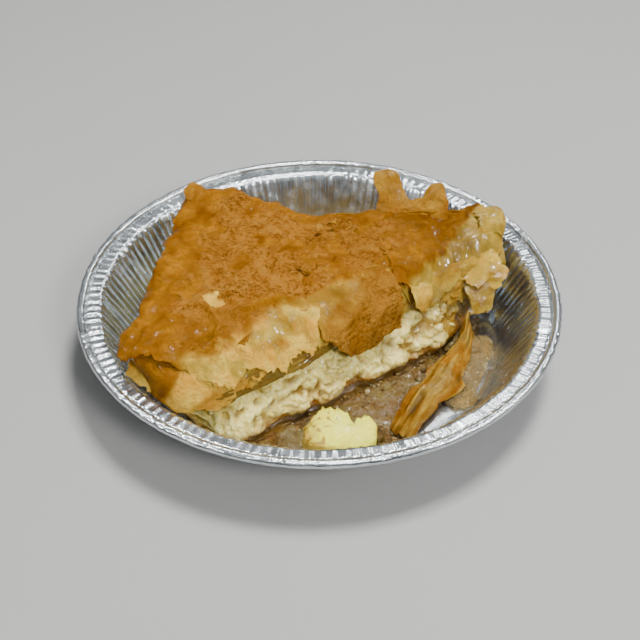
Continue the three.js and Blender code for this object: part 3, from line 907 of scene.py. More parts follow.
def draped_leaf(name, material, span, hem, push, rag, wave, amber, wet, seed, painted_shade=0.0, crown=0.93):
    """A leaf hanging over the side between two places round the piece, torn along its lower edge.

    hem lists places round the piece with the climb of that edge there. amber does so for the
    climb from which the leaf is browned, push for how far out it hangs. The argument after seed is
    how much painted shade darkens the leaf, crown the climb of its upper edge.
    """
    start, end = span
    size = (int((end - start) / 0.5), 50)
    bottom = min(climb for _, climb in hem) - 0.2

    def param(u, v):
        along = mix(start, end, u)
        return along, mix(bottom, crown, v), read_off(hem, along)

    def mask(u, v):
        along, climb, low = param(u, v)
        tear = noise(xyz(along * 0.2, climb * 2, seed), seed)
        tear += 0.7 * noise(xyz(along * 0.7, climb * 5, 1), seed + 1)
        tear = rag * (tear + 0.9 * noise(xyz(along * 2.4, climb * 9, 2), seed + 2))
        ends = 1.5 * noise(xyz(climb * 5, seed, 3), seed + 3)
        sides = np.minimum(along - start - 1.5 + ends, end - along - 1.5 - ends)
        return np.minimum((climb - low) * 13.5 + tear, sides)

    def place(u, v):
        along, climb, low = param(u, v)
        flat = wander(xyz(along, climb * 14, seed * 0.37), 3.5, seed + 4)
        slant = slanted(flat)
        fold = wave * noise(flat * xyz(0.13, 0.12, 1), seed + 5)
        fold += 0.8 * wave * crumple(slant * xyz(0.09, 0.24, 1), 2, seed + 6)
        fold += 0.35 * wave * crumple(slant * xyz(0.25, 0.7, 1), 2, seed + 13)
        fold += 0.16 * wave * rough(flat * 1.1, 2, seed + 7)
        hem_flare = smooth(low + 0.18 - climb, 0, 0.25)
        fold += hem_flare * (0.3 + 0.7 * noise(xyz(along * 0.22, climb * 3, seed), seed + 8))
        tuck = 1 - 1.3 * smooth(climb, 0.6, 0.88)
        out = read_off(push, along) + fold
        return inside_wall(to_dish(side_point(along, climb, out * tuck)), 1.0)

    def brown(u, v):
        along, climb, low = param(u, v)
        flat = xyz(along, climb * 14, seed)
        brim = climb - read_off(amber, along)
        edge = smooth(brim + 0.13 * rough(flat * 0.16, 3, seed + 9), 0, 0.25)
        streaks = 0.38 * smooth(rough(slanted(flat) * xyz(0.06, 0.3, 1), 3, seed + 10), 0.0, 0.9)
        stain = 0.4 * smooth(rough(flat * 0.13, 3, seed + 12), 0.1, 0.9)
        warm = 0.22 * smooth(climb, 0.3, 0.9) + streaks + stain
        return unit(edge + warm * (1 - edge))

    def soaked(u, v):
        along, climb, low = param(u, v)
        flat = xyz(along, climb * 14, seed)
        amber_wet = 0.7 * smooth(climb - read_off(amber, along), 0, 0.25)
        return unit(wet + 0.4 * rough(flat * 0.12, 3, seed + 11) + amber_wet)

    # The dark field here carries only painted shade
    fields = {"brown": brown, "soaked": soaked, "burn_and_shade": lambda u, v: np.full_like(u, painted_shade)}
    sheet(name, size, place, mask, LEAF, material, fields)


def draped_leaves(material):
    """Leaves that hang over every side, each ending a little higher than the one under it."""
    # The lower leaf of the two, in the shade of the one over it, gets painted shade
    front = [(0.8, -1.4, 0.4, 0.3), (1.0, -0.7, 0.5, 0.0)]
    for k, (share, out, wave, painted_shade) in enumerate(front):
        hem = lowered(FRONT_HEM, share)
        push = [(-15, 0.4 + 0.6 * k), (3, 0.4 + 0.6 * k), (12, out), (64, out)]
        seed = 110 + 13 * k
        name = f"front_leaf_{k}"
        draped_leaf(name, material, (-15, 64), hem, push, 1.0, wave, FRONT_AMBER, 0.3, seed, painted_shade)
    for k in range(2):
        push = [(74, -0.4 + 0.7 * k), (127, -0.4 + 0.7 * k)]
        amber = [(74, 0.8), (127, 0.8)]
        seed = 210 + 13 * k
        hem = lowered(NARROW_HEM, 1 - 0.5 * k)
        name = f"narrow_leaf_{k}"
        # The narrow leaves get a little painted shade
        draped_leaf(name, material, (74, 127), hem, push, 0.9, 0.9, amber, 1.0, seed, 0.06, 0.6)
    for k in range(3):
        low = 0.03 + 0.16 * k
        for name, span, amber, wet in (("back", (122, 228), 0.72, 0.4), ("left", (222, 307), 0.66, 0.5)):
            push = [(along, 0.1 + 0.36 * k) for along in span]
            hem = [(along, low) for along in span]
            brim = [(along, amber) for along in span]
            seed = 100 * len(name) + span[0] + 13 * k
            draped_leaf(f"{name}_leaf_{k}", material, span, hem, push, 1.2, 0.6, brim, wet, seed)


def torn_patch(name, material, corners, seed, tones, bulge, wave):
    """A small torn leaf between four corners: upper left, upper right, lower left, lower right."""
    rag = 0.7
    upper_left, upper_right, lower_left, lower_right = np.array(corners, float)
    wide = np.linalg.norm(upper_right - upper_left + lower_right - lower_left) / 2
    tall = np.linalg.norm(lower_left - upper_left + lower_right - upper_right) / 2
    across = np.cross(upper_right - upper_left, lower_left - upper_left)
    across = across / np.linalg.norm(across)
    size = (max(20, int(wide / 0.28)), max(20, int(tall / 0.28)))

    def mask(u, v):
        flat = xyz(u * wide, v * tall, seed)
        tear = noise(flat * 0.35, seed) + 0.6 * noise(flat, seed + 1) + 0.4 * noise(flat * 2.2, seed + 6)
        edges = np.minimum(np.minimum(u, 1 - u) * wide, np.minimum(v, 1 - v) * tall)
        return edges - 0.9 * rag + rag * tear

    def place(u, v):
        flat = xyz(u * wide, v * tall, seed * 0.7)
        upper = mix(upper_left, upper_right, u[..., None])
        p = mix(upper, mix(lower_left, lower_right, u[..., None]), v[..., None])
        arch = np.sin(np.pi * v) * (0.5 + 0.5 * np.sin(np.pi * u))
        p += np.array(bulge, float) * arch[..., None]
        fold = wave * noise(flat * 0.24, seed + 2)
        fold += 0.8 * wave * crumple(flat * 0.22, 3, seed + 3)
        fold += 0.4 * wave * crumple(flat * 0.7, 2, seed + 4)
        return inside_wall(to_dish(p + across * fold[..., None]), 1.0)

    def tone(index, spread):
        def fill(u, v):
            flat = xyz(u * wide, v * tall, index)
            return unit(tones[index] + spread * rough(flat * 0.3, 2, seed + 5 + index))
        return fill

    fields = {"brown": tone(0, 0.25), "soaked": tone(1, 0.25), "burn_and_shade": tone(2, 0.0)}
    sheet(name, size, place, mask, PATCH_LEAF, material, fields)


# Loose ends of leaves: name, four corners, tones (brown, soaked, and darkening for burning and painted
# shade), bulge and crumpling
TORN_PATCHES = [
    ("left_end_flake", [(-64, 9.4, 23.2), (-60, -1, 23.2), (-69, 6.2, 21.4), (-65.4, -3, 19.6)],
     (0.1, 0.3, 0.05), (0, 0, 0.6), 0.7),
    ("left_low_flake", [(-61, -0.5, 21.5), (-55, -10, 20), (-66, -1.5, 19.4), (-60, -13, 16.6)],
     (0.05, 0.2, 0), (0, 0, 0.6), 0.8),
    ("back_left_tip", [(-15, 50, 33.6), (-3, 51, 33.6), (-11, 57, 34.6), (-5, 58.5, 35.2)],
     (0.85, 0.8, 0), (0, 0, 1), 0.5),
    ("amber_tear", [(19, -4, 33), (24, -5.5, 32.6), (13, -19.5, 29.5), (18, -22, 25.5)],
     (1, 1, 0.03), (0.5, -1.6, 0.8), 0.5),
    ("pale_square", [(18, -18.5, 25.2), (28, -20.5, 22), (16.5, -25.5, 19), (25, -25.5, 15.4)],
     (0.15, 0.6, 0), (0, -1.2, 1), 1.1),
    ("narrow_fold", [(38.5, -21.5, 19.5), (54.5, -19.5, 24.5), (40, -30.5, 16.8), (54, -28, 21.5)],
     (0.0, 0.85, 0), (0, -1.6, 1.4), 0.3),
    ("narrow_end_a", [(55, -9, 31), (66.5, -13, 30.5), (51, -17.5, 28.5), (58.5, -24, 26)],
     (0.0, 0.95, 0.22), (2, -2, 3.0), 0.9),
    ("narrow_end_b", [(50, -25.5, 23), (54, -31.5, 22), (42, -28.5, 16.5), (46.5, -34, 17)],
     (0.0, 0.85, 0.03), (0, -0.6, 0.6), 0.9),
    ("narrow_end_c", [(38, -25.5, 18.5), (51, -28.5, 21), (36, -31.5, 11), (43, -35.5, 11.5)],
     (0.06, 0.9, 0.34), (0, -0.8, 0.8), 0.9),
    ("pale_speck_a", [(8, 12, 34.2), (11.5, 13, 34.2), (7.5, 9.5, 34.2), (11.5, 9.5, 34.2)],
     (0.35, 0.1, 0.3), (0, 0, 0.3), 0.5),
    ("pale_speck_b", [(13.5, 11.8, 34.2), (17, 12, 34.2), (14, 8.8, 34.2), (17.5, 9, 34.2)],
     (0.4, 0.1, 0.35), (0, 0, 0.3), 0.5),
]


def torn_patches(material):
    """All the loose ends of leaves."""
    for index, (name, corners, tones, bulge, wave) in enumerate(TORN_PATCHES):
        torn_patch(name, material, corners, 1010 + 17 * index, tones, bulge, wave)


# Browned skin

def ridge_distance(s, t):
    """How far a plan place is along and behind the long fold near the front edge."""
    along = (s + 24.0) * 0.89 - (t + 7.2) * 0.46
    behind = (s + 24.0) * 0.46 + (t + 7.2) * 0.89
    return along, behind + 0.012 * along * along - 0.4 * np.sin(along * 0.35)


# How far the skin hangs over the front: place along the cut face and length
FRONT_HANG = [
    (-64, 0), (-60, 1.5), (-56, 4.5), (-52, 6.5), (-46, 7), (-40, 7.8), (-32, 9.4), (-20, 9.6), (-10, 7),
    (0, 3), (12, 0), (15, 3), (19, 8), (26, 9.4), (40, 9.4), (48, 8.5), (55, 6.5), (60, 3), (64, 0),
]

# Where the browned skin gives way to pale film at the narrow end: s and t
AMBER_EDGE = [(14, -19.5), (26, -18.2), (40, -16), (48, -13.5), (56, -10.5), (66, -9)]


def front_hang(s):
    """How far the skin hangs over the front."""
    return read_off(FRONT_HANG, s)


def pale_end(s, t):
    """How much of the browned skin has given way to pale film at the narrow end."""
    past = read_off(AMBER_EDGE, s) - t + 0.8 * rough(xyz(s, t) * 0.25, 3, 611)
    return smooth(s, 14, 18) * smooth(past, 0, 1.6)


def dry_share(s, t, inner):
    """How dry and crumbly the skin is: most in the middle, less near its edges and folds."""
    flat = xyz(s, t)
    to_left = (s + 68) * 0.64 - (t - 6.5) * 0.768
    drift = 6.0 * rough(flat * 0.10, 4, 601)
    along, behind = ridge_distance(s, t)
    dry = smooth(to_left + drift, 13, 18) * (1 - smooth(s + drift, 24, 29))
    dry = dry * smooth(inner + 0.5 * drift, 0.5, 3) * (1 - hump(s, t, -46, -3, 9, 6))
    dry = dry * (1 - hump(along, behind, 0, 0, 12, 3.5))
    return dry * (1 - 0.9 * smooth(rough(flat * 0.15, 3, 612), 0.42, 0.6))


def bare_share(s, t):
    """Where the browned leaf is chipped away, and the gap behind the long fold."""
    flat = xyz(s, t)
    chip = hump(s, t, -36.6, 4.6, 3.6, 5.4) + 0.35 * rough(flat * 0.45, 3, 603)
    chipped = smooth(chip, 0.72, 0.80) * (hump(s, t, -36.6, 4.6, 6, 8) > 0.3)
    along, behind = ridge_distance(s, t)
    gap = hump(along, behind, 0, 2.4, 7, 1.1) + 0.4 * noise(flat * 0.5, 606)
    return chipped + 0.85 * smooth(gap, 0.65, 0.8)


def crack_share(s, t):
    """The small dark crack in the middle of the skin."""
    crack = hump(s + 0.8 * noise(xyz(t * 0.8, 0, 0), 607), t, -8.4, 0.2, 0.5, 2.6)
    crack += hump(s, t + 0.7 * (s + 8.4), -9.6, 0.2, 1.6, 0.4)
    return crack + hump(s, t, -7.4, -2.6, 0.9, 0.7)


def film_stain(flat):
    """Brown streaks and blots on the pale film."""
    streaks = 0.35 * smooth(rough(slanted(flat) * xyz(0.3, 0.07, 1), 3, 613), 0.0, 0.9)
    return streaks + 0.45 * smooth(rough(flat * 0.16, 3, 615), 0.0, 0.8)


def skin_tones(s, t):
    """How browned and soaked the skin is at a plan place, and how dark: cracks, rims, deeper amber and
    painted shade.
    """
    flat = xyz(s, t)
    inner = outline_distance(s, t)
    narrow = pale_end(s, t)
    edge = inner + 1.3 * rough(flat * 0.22, 3, 608)
    front = smooth(s, -60, -54) * (1 - smooth(s, 12, 16)) * smooth(-t, 1, 5)
    film = front * smooth(-edge, -1.5, 2.2) + narrow
    fringe = front * smooth(-edge - front_hang(s), -2.0, 0.5)
    stain = film_stain(flat) * (1 - 0.5 * narrow)
    brown = np.clip(1 - bare_share(s, t) - film * (1 - stain) - fringe, 0.02, 1)
    dry = dry_share(s, t, inner)
    windows = 0.5 - 0.9 * rough(flat * 0.22, 3, 617)
    soaked = unit(1 - dry - front * film * windows - 0.4 * fringe)
    rim = 0.3 * smooth(2.0 - inner, 0, 2.5) * smooth(noise(flat * 0.25, 609), 0.0, 0.5)
    deep = 0.12 * smooth(s, 4, 18) + 0.28 * smooth(s, 26, 38) + 0.28 * hump(s, t, -46, -4, 10, 5)
    # Olive darkening at the narrow end: painted shade in its hollow, plus random olive patches
    olive_shade_and_patches = 0.4 * hump(s, t, 47, -19, 11, 7) + 0.24 * smooth(rough(flat * 0.15, 2, 616), -0.3, 0.5)
    deep = deep * brown + 0.16 * hump(s, t, -67, 5, 6, 5) + narrow * olive_shade_and_patches
    return brown, soaked, unit(1.1 * crack_share(s, t) + rim * dry + deep)


def hanging_drop(s, t, over):
    """How far the skin has dropped at a distance outside its outline."""
    reach = np.interp(s, POSTS[:7, 0], POSTS[:7, 3])
    lip = np.interp(s, POSTS[:7, 0], POSTS[:7, 4])
    beyond = np.clip(over - 2.0 * smooth(over, 0, 3), 0, None)
    climb = unit(1 - beyond / reach) ** 0.71
    front = (skin_height(s, t) - lip) * (1 - climb)
    return mix(0.6 * over + 0.05 * over ** 2, front, smooth(-t, 1, 5))


def skin_relief(s, t, inner, soaked):
    """Blisters where the skin is soaked, fine crackle where it is dry, and creases at the narrow end."""
    flat = xyz(s, t)
    loose = wander(flat, 4.0, 640)
    narrow = smooth(s, 14, 24) * smooth(-inner, -2, 2)
    swell = 0.8 * noise(loose * 0.16, 625) + 0.5 * crumple(loose * 0.2, 2, 626)
    swell += 0.5 * (curds(loose * xyz(0.21, 0.21, 1), 628) - 0.6)
    relief = soaked * swell * (1 - 0.6 * narrow)
    relief += 0.5 * narrow * smooth(creases(slanted(loose) * xyz(0.1, 0.3, 1), 1, 637), 0.5, 0.6)
    relief += 1.0 * smooth(s, 53, 58) * crumple(loose * 0.4, 3, 638) - 0.5 * pale_end(s, t)
    relief += 0.16 * noise(flat * 0.5, 627)
    relief += (1 - soaked) * 0.35 * crumple(loose * 0.45, 3, 629)
    return relief + 0.6 * smooth(creases(loose * xyz(0.06, 0.09, 1), 1, 631), 0.5, 0.6)


def front_wrinkles(s, t, inner):
    """Wrinkles of the skin where it hangs over the front."""
    loose = wander(xyz(s, t), 4.0, 640)
    drape = smooth(-inner, 0.5, 4) * smooth(-t, 4, 9) * (1 - smooth(s, 8, 14))
    wrinkle = 1.1 * noise(loose * xyz(0.16, 0.2, 1), 632)
    wrinkle += 0.9 * crumple(slanted(loose) * 0.2, 2, 633)
    return drape * (wrinkle + 0.8 * crumple(loose * 0.6, 2, 635))


def browned_skin(material):
    """The top leaf, torn at its edge, hanging a little over it."""
    low = np.array([-73.0, -29.0])
    high = np.array([65.0, 62.0])

    def plan(u, v):
        return mix(low[0], high[0], u), mix(low[1], high[1], v)

    def mask(u, v):
        s, t = plan(u, v)
        flat = xyz(s, t)
        tear = 1.2 * noise(flat * 0.17, 621) + 0.6 * noise(flat * 0.5, 623)
        tear += 0.4 * noise(flat * 1.4, 624)
        tear = 0.9 + tear * (1 - 0.6 * hump(s, t, 36, -18, 18, 10))
        return outline_distance(s, t) + tear + front_hang(s) * smooth(-t, 0, 4)

    def place(u, v):
        s, t = plan(u, v)
        inner = outline_distance(s, t)
        brown, soaked, burn_and_shade = skin_tones(s, t)
        rounding = 1.0 * smooth(3.0 - inner, 0, 5)
        z = skin_height(s, t) - rounding - hanging_drop(s, t, np.clip(-inner, 0, 14))
        z += skin_relief(s, t, inner, soaked) + front_wrinkles(s, t, inner)
        along, behind = ridge_distance(s, t)
        fold = smooth(behind, -1.6, -0.1) * (1 - smooth(behind, 0.1, 2.4))
        z += 2.1 * fold * (1 - smooth(np.abs(along), 8, 13))
        z = z - 0.45 * smooth(0.6 - brown, 0, 0.4) * smooth(inner, 0, 2) - 1.1 * burn_and_shade
        return to_dish(xyz(s, t, z + 0.35))

    def tone(index):
        return lambda u, v: skin_tones(*plan(u, v))[index]

    fields = {"brown": tone(0), "soaked": tone(1), "burn_and_shade": tone(2)}
    sheet("browned_top_leaf", (300, 198), place, mask, LEAF, material, fields)


def fallen_flap(material):
    """Browned leaf that slid down over the cut face, pale and shiny at its upper corner."""
    corners = np.array([
        (-17, -10.5, 32.2), (16, -12, 31.4), (-19, -25.5, 14.4), (10.5, -27.5, 15.3),
    ])

    def mask(u, v):
        tear = 0.9 * noise(xyz(u * 6, v * 6, 0), 641) + 0.5 * noise(xyz(u * 17, v * 17, 0), 643)
        left = 0.05 + 0.26 * smooth(v, 0.5, 1.05)
        low = 0.97 - 0.05 * smooth(u, 0.4, 0.8)
        return np.minimum(np.minimum((u - left) * 31, (0.98 - u) * 31), (low - v) * 24) + tear

    def place(u, v):
        upper = mix(corners[0], corners[1], u[..., None])
        lower = mix(corners[2], corners[3], u[..., None])
        p = mix(upper, lower, v[..., None])
        flat = wander(xyz(u * 29, v * 24, 0), 2.0, 646)
        bulge = 4.4 * np.sin(np.pi * np.minimum(1, v * 1.05)) * (0.75 + 0.35 * smooth(u, 0.1, 0.6))
        bulge += 1.0 * noise(flat * 0.15, 645) + 0.6 * crumple(flat * 0.24, 3, 647)
        bulge += 0.10 * rough(flat * 1.2, 2, 649)
        z = p[..., 2] + 0.55 * bulge + 1.0 * v * np.sin(u * 9)
        return to_dish(xyz(p[..., 0], p[..., 1] - 0.8 * bulge, z))

    def brown(u, v):
        corner = smooth(0.78 - 0.8 * u - 0.75 * v + 0.16 * rough(xyz(u * 7, v * 6, 1), 3, 653), 0.1, 0.5)
        return unit(0.93 - 0.45 * corner)

    def soaked(u, v):
        dry = 0.8 * smooth(u * 0.6 + v, 0.3, 0.75)
        return unit(0.85 - dry + 0.3 * noise(xyz(u * 5, v * 5, 2), 651))

    def burn_and_shade(u, v):
        return 0.18 + 0.3 * smooth(v, 0.7, 1.0) * smooth(noise(xyz(u * 8, v * 8, 4), 655), 0.0, 0.6)

    fields = {"brown": brown, "soaked": soaked, "burn_and_shade": burn_and_shade}
    sheet("fallen_flap", (136, 112), place, mask, DOUBLE_LEAF, material, fields)


def two_lobed_flake(material):
    """Leaf standing at the back edge, torn into two round lobes."""
    left = np.array([29.0, 6.5, 30.0])
    right = np.array([48.0, -9.5, 28.4])
    lean = np.array([9.0, 9.5, 11.2])

    def lobe(u, middle, half):
        return 1 - smooth(np.abs(u - middle), 0.45 * half, 1.1 * half)

    def mask(u, v):
        ragged = 0.035 * noise(xyz(u * 8, v * 5, 0), 661)
        height = 0.52 + 0.52 * lobe(u, 0.2, 0.26) + 0.30 * lobe(u, 0.85, 0.2)
        waist = 0.07 * smooth(v, 0.2, 0.5) * (1 - smooth(v, 0.5, 0.85))
        sides = rounded_least(u - 0.03 - waist + ragged, 0.98 - u - 0.05 * v + ragged, 0.04)
        return rounded_least(height + ragged - v * 1.12, sides, 0.07) * 20

    def place(u, v):
        p = mix(left, right, u[..., None]) + lean * (v * 1.12)[..., None]
        flat = xyz(u * 25, v * 16, 0)
        s = p[..., 0] - 2.4 * v * (1 - u)
        t = p[..., 1] + 1.4 * v * (1 - u)
        curl = 0.9 * noise(flat * 0.17, 663) + 0.16 * rough(flat * 0.6, 3, 665) - 1.6 * np.sin(np.pi * v)
        z = p[..., 2] + 0.6 * np.sin(u * 8) * v
        return to_dish(xyz(s - 0.6 * curl, t - 0.6 * curl, z + 0.5 * curl))

    def brown(u, v):
        patches = 0.2 * rough(xyz(u * 5, v * 4, 2), 3, 669)
        return unit(0.92 - 0.46 * smooth(v, 0.2, 0.8) + patches)

    fields = {
        "brown": brown,
        "soaked": lambda u, v: unit(0.6 + 0.3 * noise(xyz(u * 6, v * 6, 0), 667)),
        "burn_and_shade": lambda u, v: 0.14 + 0.18 * smooth(noise(xyz(u * 9, v * 9, 5), 668), 0.3, 0.7),
    }
    sheet("two_lobed_flake", (104, 72), place, mask, LOBE_LEAF, material, fields)


# Loose pastry and syrup

def loose_strip(material):
    """Browned leaf that hangs from the narrow end and trails along the floor in ridges."""
    crest = np.array([
        (48.5, 1, 13), (45, -7, 10), (40.5, -14, 7.6),
        (35.5, -21.5, 6.4), (30.5, -30.5, 5), (21.5, -47, 2.8),
    ])

    def place(u, v):
        knot = np.linspace(0, 1, len(crest))
        p = [np.interp(u, knot, crest[:, k]) for k in range(3)]
        flat = wander(xyz(u * 62, v * 13, 0), 2.0, 700)
        wide = 6.0 + 8 * smooth(u, 0.15, 0.55) - 4 * smooth(u, 0.75, 1)
        wide += 1.4 * noise(xyz(u * 7, 0, 0), 702)
        side = (v - 0.42) * wide + 1.2 * noise(xyz(u * 5, 0, 4), 707)
        drop = np.where(v < 0.42, (0.42 - v) / 0.42, unit((v - 0.42) / 0.58) ** 0.75)
        pleat = v * 4.6 + 0.5 * u + 0.5 * noise(flat * xyz(0.10, 0.05, 1), 701)
        ridge = 1.2 * (np.abs(pleat % 1.0 - 0.5) * 2 - 0.5)
        ridge += 0.7 * crumple(flat * xyz(0.12, 0.45, 1), 3, 709)
        ridge += 0.7 * noise(flat * xyz(0.12, 0.3, 1), 703)
        ridge += 0.22 * rough(flat * xyz(0.6, 1.2, 1), 2, 705)
        z = mix(p[2], 2.9, drop) + ridge * (1 - 0.5 * drop)
        return inside_wall(xyz(p[0] + 0.8 * side, p[1] - 0.6 * side, np.maximum(z, 2.2)), 1.2)

    def mask(u, v):
        tear = 1.6 * noise(xyz(u * 9, v * 2, 0), 711) + 0.35 * noise(xyz(u * 25, v * 5, 1), 713)
        ends = np.minimum(u, 1 - u) * 62 - 1.2
        return np.minimum(np.minimum(v, 1 - v) * 11 - 0.9, ends) + tear

    def brown(u, v):
        light = 0.3 * smooth(0.22 - u, 0, 0.22) + 0.40
        light += 0.5 * rough(xyz(u * 7, v * 9, 2), 3, 717)
        return unit(1 - light)

    def soaked(u, v):
        return unit(0.85 + 0.3 * noise(xyz(u * 12, v * 3, 0), 715))

    def burn_and_shade(u, v):
        spots = smooth(noise(xyz(u * 6, v * 11, 3), 719), 0.1, 0.8)
        return 0.16 + 0.12 * smooth(u, 0.5, 0.8) + 0.45 * spots

    size = (230, 66)
    fields = {"brown": brown, "soaked": soaked, "burn_and_shade": burn_and_shade}
    sheet("loose_strip", size, place, mask, STRIP_LEAF, material, fields, "pastry_strip")


def square_plan(half):
    """Plan places over a square, from two numbers from 0 to 1."""
    return lambda u, v: (mix(-half, half, u), mix(-half, half, v))


def soaked_base(material):
    """Wet bottom leaves under the piece and over the floor in front of it."""
    plan = square_plan(53.0)

    def mask(u, v):
        s, t = plan(u, v)
        flat = xyz(s, t)
        ragged = 0.8 * noise(flat * 0.25, 735) + 0.4 * noise(flat * 0.9, 737)
        apron = 51.3 - np.hypot(s, t) + 1.4 * ragged
        bare = hump(s, t, 10, -51, 18, 6) * 9
        front = np.minimum(apron - bare, front_foot(s) + 6 - t)
        piece = np.minimum(outline_distance(s, t) - 1.5, 51.5 - np.hypot(s, t)) + 0.4 * ragged
        return np.maximum(front, np.minimum(piece, t - front_foot(s)))

    def place(u, v):
        s, t = plan(u, v)
        flat = wander(xyz(s, t), 2.5, 730)
        rise = smooth(t, front_foot(s) + 1.2, front_foot(s) + 2.6)
        pulp = 0.9 * curds(flat * 0.28, 731) + 0.7 * curds(flat * 0.75, 734)
        pulp += 0.8 * creases(flat * xyz(0.12, 0.24, 1), 3, 732) + 0.4 * rough(flat * 0.4, 3, 733)
        pulp = pulp - 1.1 * smooth(t, front_foot(s) - 3, front_foot(s))
        z = mix(0.55 + np.clip(pulp, 0.2, 2.4), 3.35, rise)
        return to_dish(xyz(s, t, np.maximum(z, 1.5)))

    def brown(u, v):
        s, t = plan(u, v)
        ragged = 2.0 * rough(xyz(s, t) * 0.2, 3, 738)
        # Darker brown along the custard's foot: the browned edge of the base, and painted shadow under
        # the custard
        edge_and_foot_shadow = smooth(t + ragged, front_foot(s) - 3, front_foot(s))
        return np.clip(0.25 + 0.6 * rough(xyz(s, t) * 0.1, 3, 739) + 0.6 * edge_and_foot_shadow, 0, 0.95)

    name = "soaked_base_leaves"
    fields = {"brown": brown}
    sheet(name, (190, 190), place, mask, DOUBLE_LEAF, material, fields, "pastry_base")


def syrup_film(material):
    """Shallow syrup between the lump and the cut face and round the wet leaves."""
    plan = square_plan(55.0)

    def mask(u, v):
        s, t = plan(u, v)
        ragged = 1.6 * rough(xyz(s, t) * 0.12, 3, 751)
        pool = 54.0 - np.hypot(s, t) + 0.5 * ragged
        bare = hump(s, t, 3, -50, 14, 6) * 10
        return np.minimum(pool - bare, front_foot(s) + 0.5 - t) + 0.3 * ragged

    def place(u, v):
        s, t = plan(u, v)
        edge = unit(mask(u, v) / 2.0)
        z = 0.75 + 1.15 * np.sqrt(edge) + 0.12 * noise(xyz(s, t) * 0.3, 753)
        return to_dish(xyz(s, t, z))

    sheet("syrup_film", (200, 200), place, mask, SYRUP_FILM, material, {})


def syrup_puddle(material):
    """Thicker amber syrup that has run against the wall at the right."""
    def polar(u, v):
        return np.radians(mix(-38, 3, u)), mix(42, 56, v)

    def mask(u, v):
        edge = np.minimum(np.minimum(u, 1 - u) * 34, np.minimum(v, 1 - v) * 13)
        return edge - 1.0 + 1.2 * rough(xyz(u * 7, v * 3, 0), 3, 761)

    def place(u, v):
        turn, reach = polar(u, v)
        edge = unit(mask(u, v) / 2.0)
        ripple = 0.8 * noise(xyz(u * 11, v * 5, 0), 763) + 0.4 * noise(xyz(u * 31, v * 12, 0), 765)
        z = 0.9 + 1.3 * np.sqrt(edge) + ripple * edge
        return inside_wall(xyz(reach * np.cos(turn), reach * np.sin(turn), np.maximum(z, 0.95)), 0.7)

    sheet("syrup_puddle", (120, 48), place, mask, SYRUP_PUDDLE, material, {})


def strewn(name, material, count, span, depth, lift, size, reach, flat, fields, seed):
    """Many small lumps over the wet floor in front of the cut face, within reach of the middle."""
    pick = [lattice(xyz(np.arange(count), k, 0), seed) for k in range(4)]
    s = mix(*span, pick[0])
    t = front_foot(s) - mix(0.5, depth, pick[1])
    keep = np.hypot(s, t) < reach
    sizes = (size[0] + size[1] * pick[2] ** 2)[keep]
    centres = to_dish(xyz(s, t, lift[0] + lift[1] * pick[3]))[keep]
    crumbs(name, material, centres, sizes, flat, fields, seed + 2)


def pulp_bits(material):
    """Bits of soaked leaf and curd."""
    spread = ((-30, 34), 17, (1.9, 0.6), (0.3, 1.0), 49, 0.55)
    strewn("pulp_bits", material, 130, *spread, {"brown": 0.4}, 771)


def syrup_drops(material):
    """Small drops that stand on the wet floor."""
    spread = ((-34, 40), 20, (2.1, 0.8), (0.22, 0.5), 50, 0.8)
    strewn("syrup_drops", material, 170, *spread, {}, 781)


# Light, floor and camera

# Brightness of the surround at levels from the horizon, 0, to overhead, 1
SKY_BANDS = [(0.25, 0), (0.52, 0.8), (0.62, 1), (0.70, 0.45), (0.78, 0.45), (0.86, 0.95)]


def surround():
    """Grey surround, brighter overhead, in soft patches."""
    world = bpy.data.worlds.new("surround")
    world.use_nodes = True
    tree = world.node_tree
    direction = add_node(tree, "TexCoord", {}).outputs["Generated"]
    split = add_node(tree, "SeparateXYZ", {"Vector": direction})
    bands = add_node(tree, "ValToRGB", {"Fac": split.outputs["Z"]})
    for level, brightness in SKY_BANDS:
        bands.color_ramp.elements.new(level).color = (brightness, brightness, brightness, 1)
    drift = add_node(tree, "TexNoise", {"Vector": direction}, Scale=2.5, Detail=1.0)
    patches = ramp(tree, drift.outputs["Fac"], 0.42, 0.58, 0.3, 1.0)
    light = both(tree, bands.outputs["Color"], patches)
    colour = blend(tree, light, (0.10, 0.098, 0.095), (0.93, 0.98, 1.0))
    tree.links.new(colour, tree.nodes["Background"].inputs["Color"])
    tree.nodes["Background"].inputs["Strength"].default_value = 0.5
    bpy.context.scene.world = world


def lamp(name, place, size, power, lights_up, shines):
    """One square lamp aimed at the dish, for its light, its reflection or both."""
    light = bpy.data.lights.new(name, "AREA")
    light.size = size
    light.energy = power
    holder = bpy.data.objects.new(name, light)
    holder.location = place
    holder.visible_diffuse = lights_up
    holder.visible_glossy = shines
    holder.rotation_euler = (Vector((0, 0, 0.02)) - Vector(place)).to_track_quat("-Z", "Y").to_euler()
    bpy.context.scene.collection.objects.link(holder)


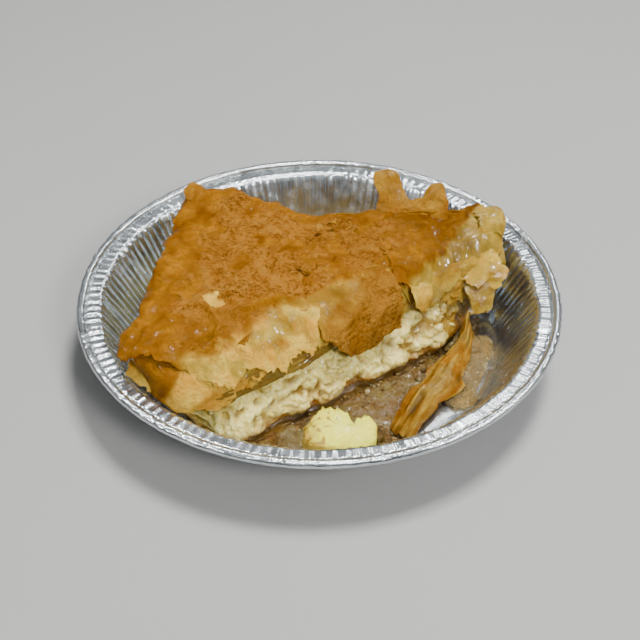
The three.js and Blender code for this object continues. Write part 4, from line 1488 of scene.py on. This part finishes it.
def studio():
    """Pale floor, soft light from above, and small lamps that only glint on what is wet or metal."""
    bpy.ops.mesh.primitive_grid_add(x_subdivisions=4, y_subdivisions=4, size=6, location=(0, 0, 0))
    ground = bpy.context.object
    ground.name = "studio_floor"
    ground.data.materials.append(floor_material())
    lamp("key", (0.18, 0.10, 0.98), 0.24, 12.5, True, False)
    lamp("front_fill", (0.40, -0.68, 0.66), 0.24, 6.8, True, False)
    lamp("ledge_glint", (0.32, 0.76, 0.60), 0.08, 1.0, False, True)
    lamp("floor_glint", (0.18, 0.68, 0.74), 0.06, 0.3, False, True)
    lamp("side_glint", (0.95, -0.15, 0.43), 0.05, 1.3, False, True)
    lamp("low_glint", (0.82, -0.45, 0.60), 0.05, 1.3, False, True)
    for index in range(14):
        turn = math.radians(8 + 137.5 * index)
        climb = math.radians(40 + 11 * (index % 4))
        place = (math.cos(climb) * math.cos(turn), math.cos(climb) * math.sin(turn), math.sin(climb))
        lamp(f"glint_{index}", place, 0.045, 1.7, False, True)


def camera():
    """Camera at the photograph's angle."""
    data = bpy.data.cameras.new("photo_view")
    data.lens = CAMERA_LENS
    data.sensor_width = 36
    data.clip_start = 0.01
    eye = bpy.data.objects.new("photo_view", data)
    ahead = Vector((0, math.cos(CAMERA_PITCH), -math.sin(CAMERA_PITCH)))
    level = Vector((1, 0, 0))
    above = level.cross(ahead)
    right = level * math.cos(CAMERA_ROLL) + above * math.sin(CAMERA_ROLL)
    up = above * math.cos(CAMERA_ROLL) - level * math.sin(CAMERA_ROLL)
    turn = Matrix((right, up, -ahead)).transposed().to_4x4()
    eye.matrix_world = Matrix.Translation(CAMERA_PLACE) @ turn
    bpy.context.scene.collection.objects.link(eye)
    bpy.context.scene.camera = eye


camera()
surround()
studio()
filo = filo_material()
custard = custard_material("curdled_custard", (0.88, 0.68, 0.15), (0.99, 0.87, 0.33), 0.6)
cut_custard = custard_material("cut_custard", (0.94, 0.83, 0.04), (0.99, 0.94, 0.07), 0.1)
soaked_pulp = soaked_material()
foil_dish(foil_material())
soaked_base(soaked_pulp)
pulp_bits(soaked_pulp)
syrup = syrup_material("thin_syrup", (0.62, 0.40, 0.14), (0.90, 0.74, 0.45), 0.95)
syrup_film(syrup)
syrup_drops(syrup)
syrup_puddle(syrup_material("thick_syrup", (0.88, 0.66, 0.29), (0.98, 0.86, 0.55), 0.89))
custard_filling(custard)
custard_crumbs(custard)
custard_lump(cut_custard)
custard_gel(syrup)
leaf_body(filo)
draped_leaves(filo)
browned_skin(filo)
fallen_flap(filo)
two_lobed_flake(filo)
torn_patches(filo)
loose_strip(filo)
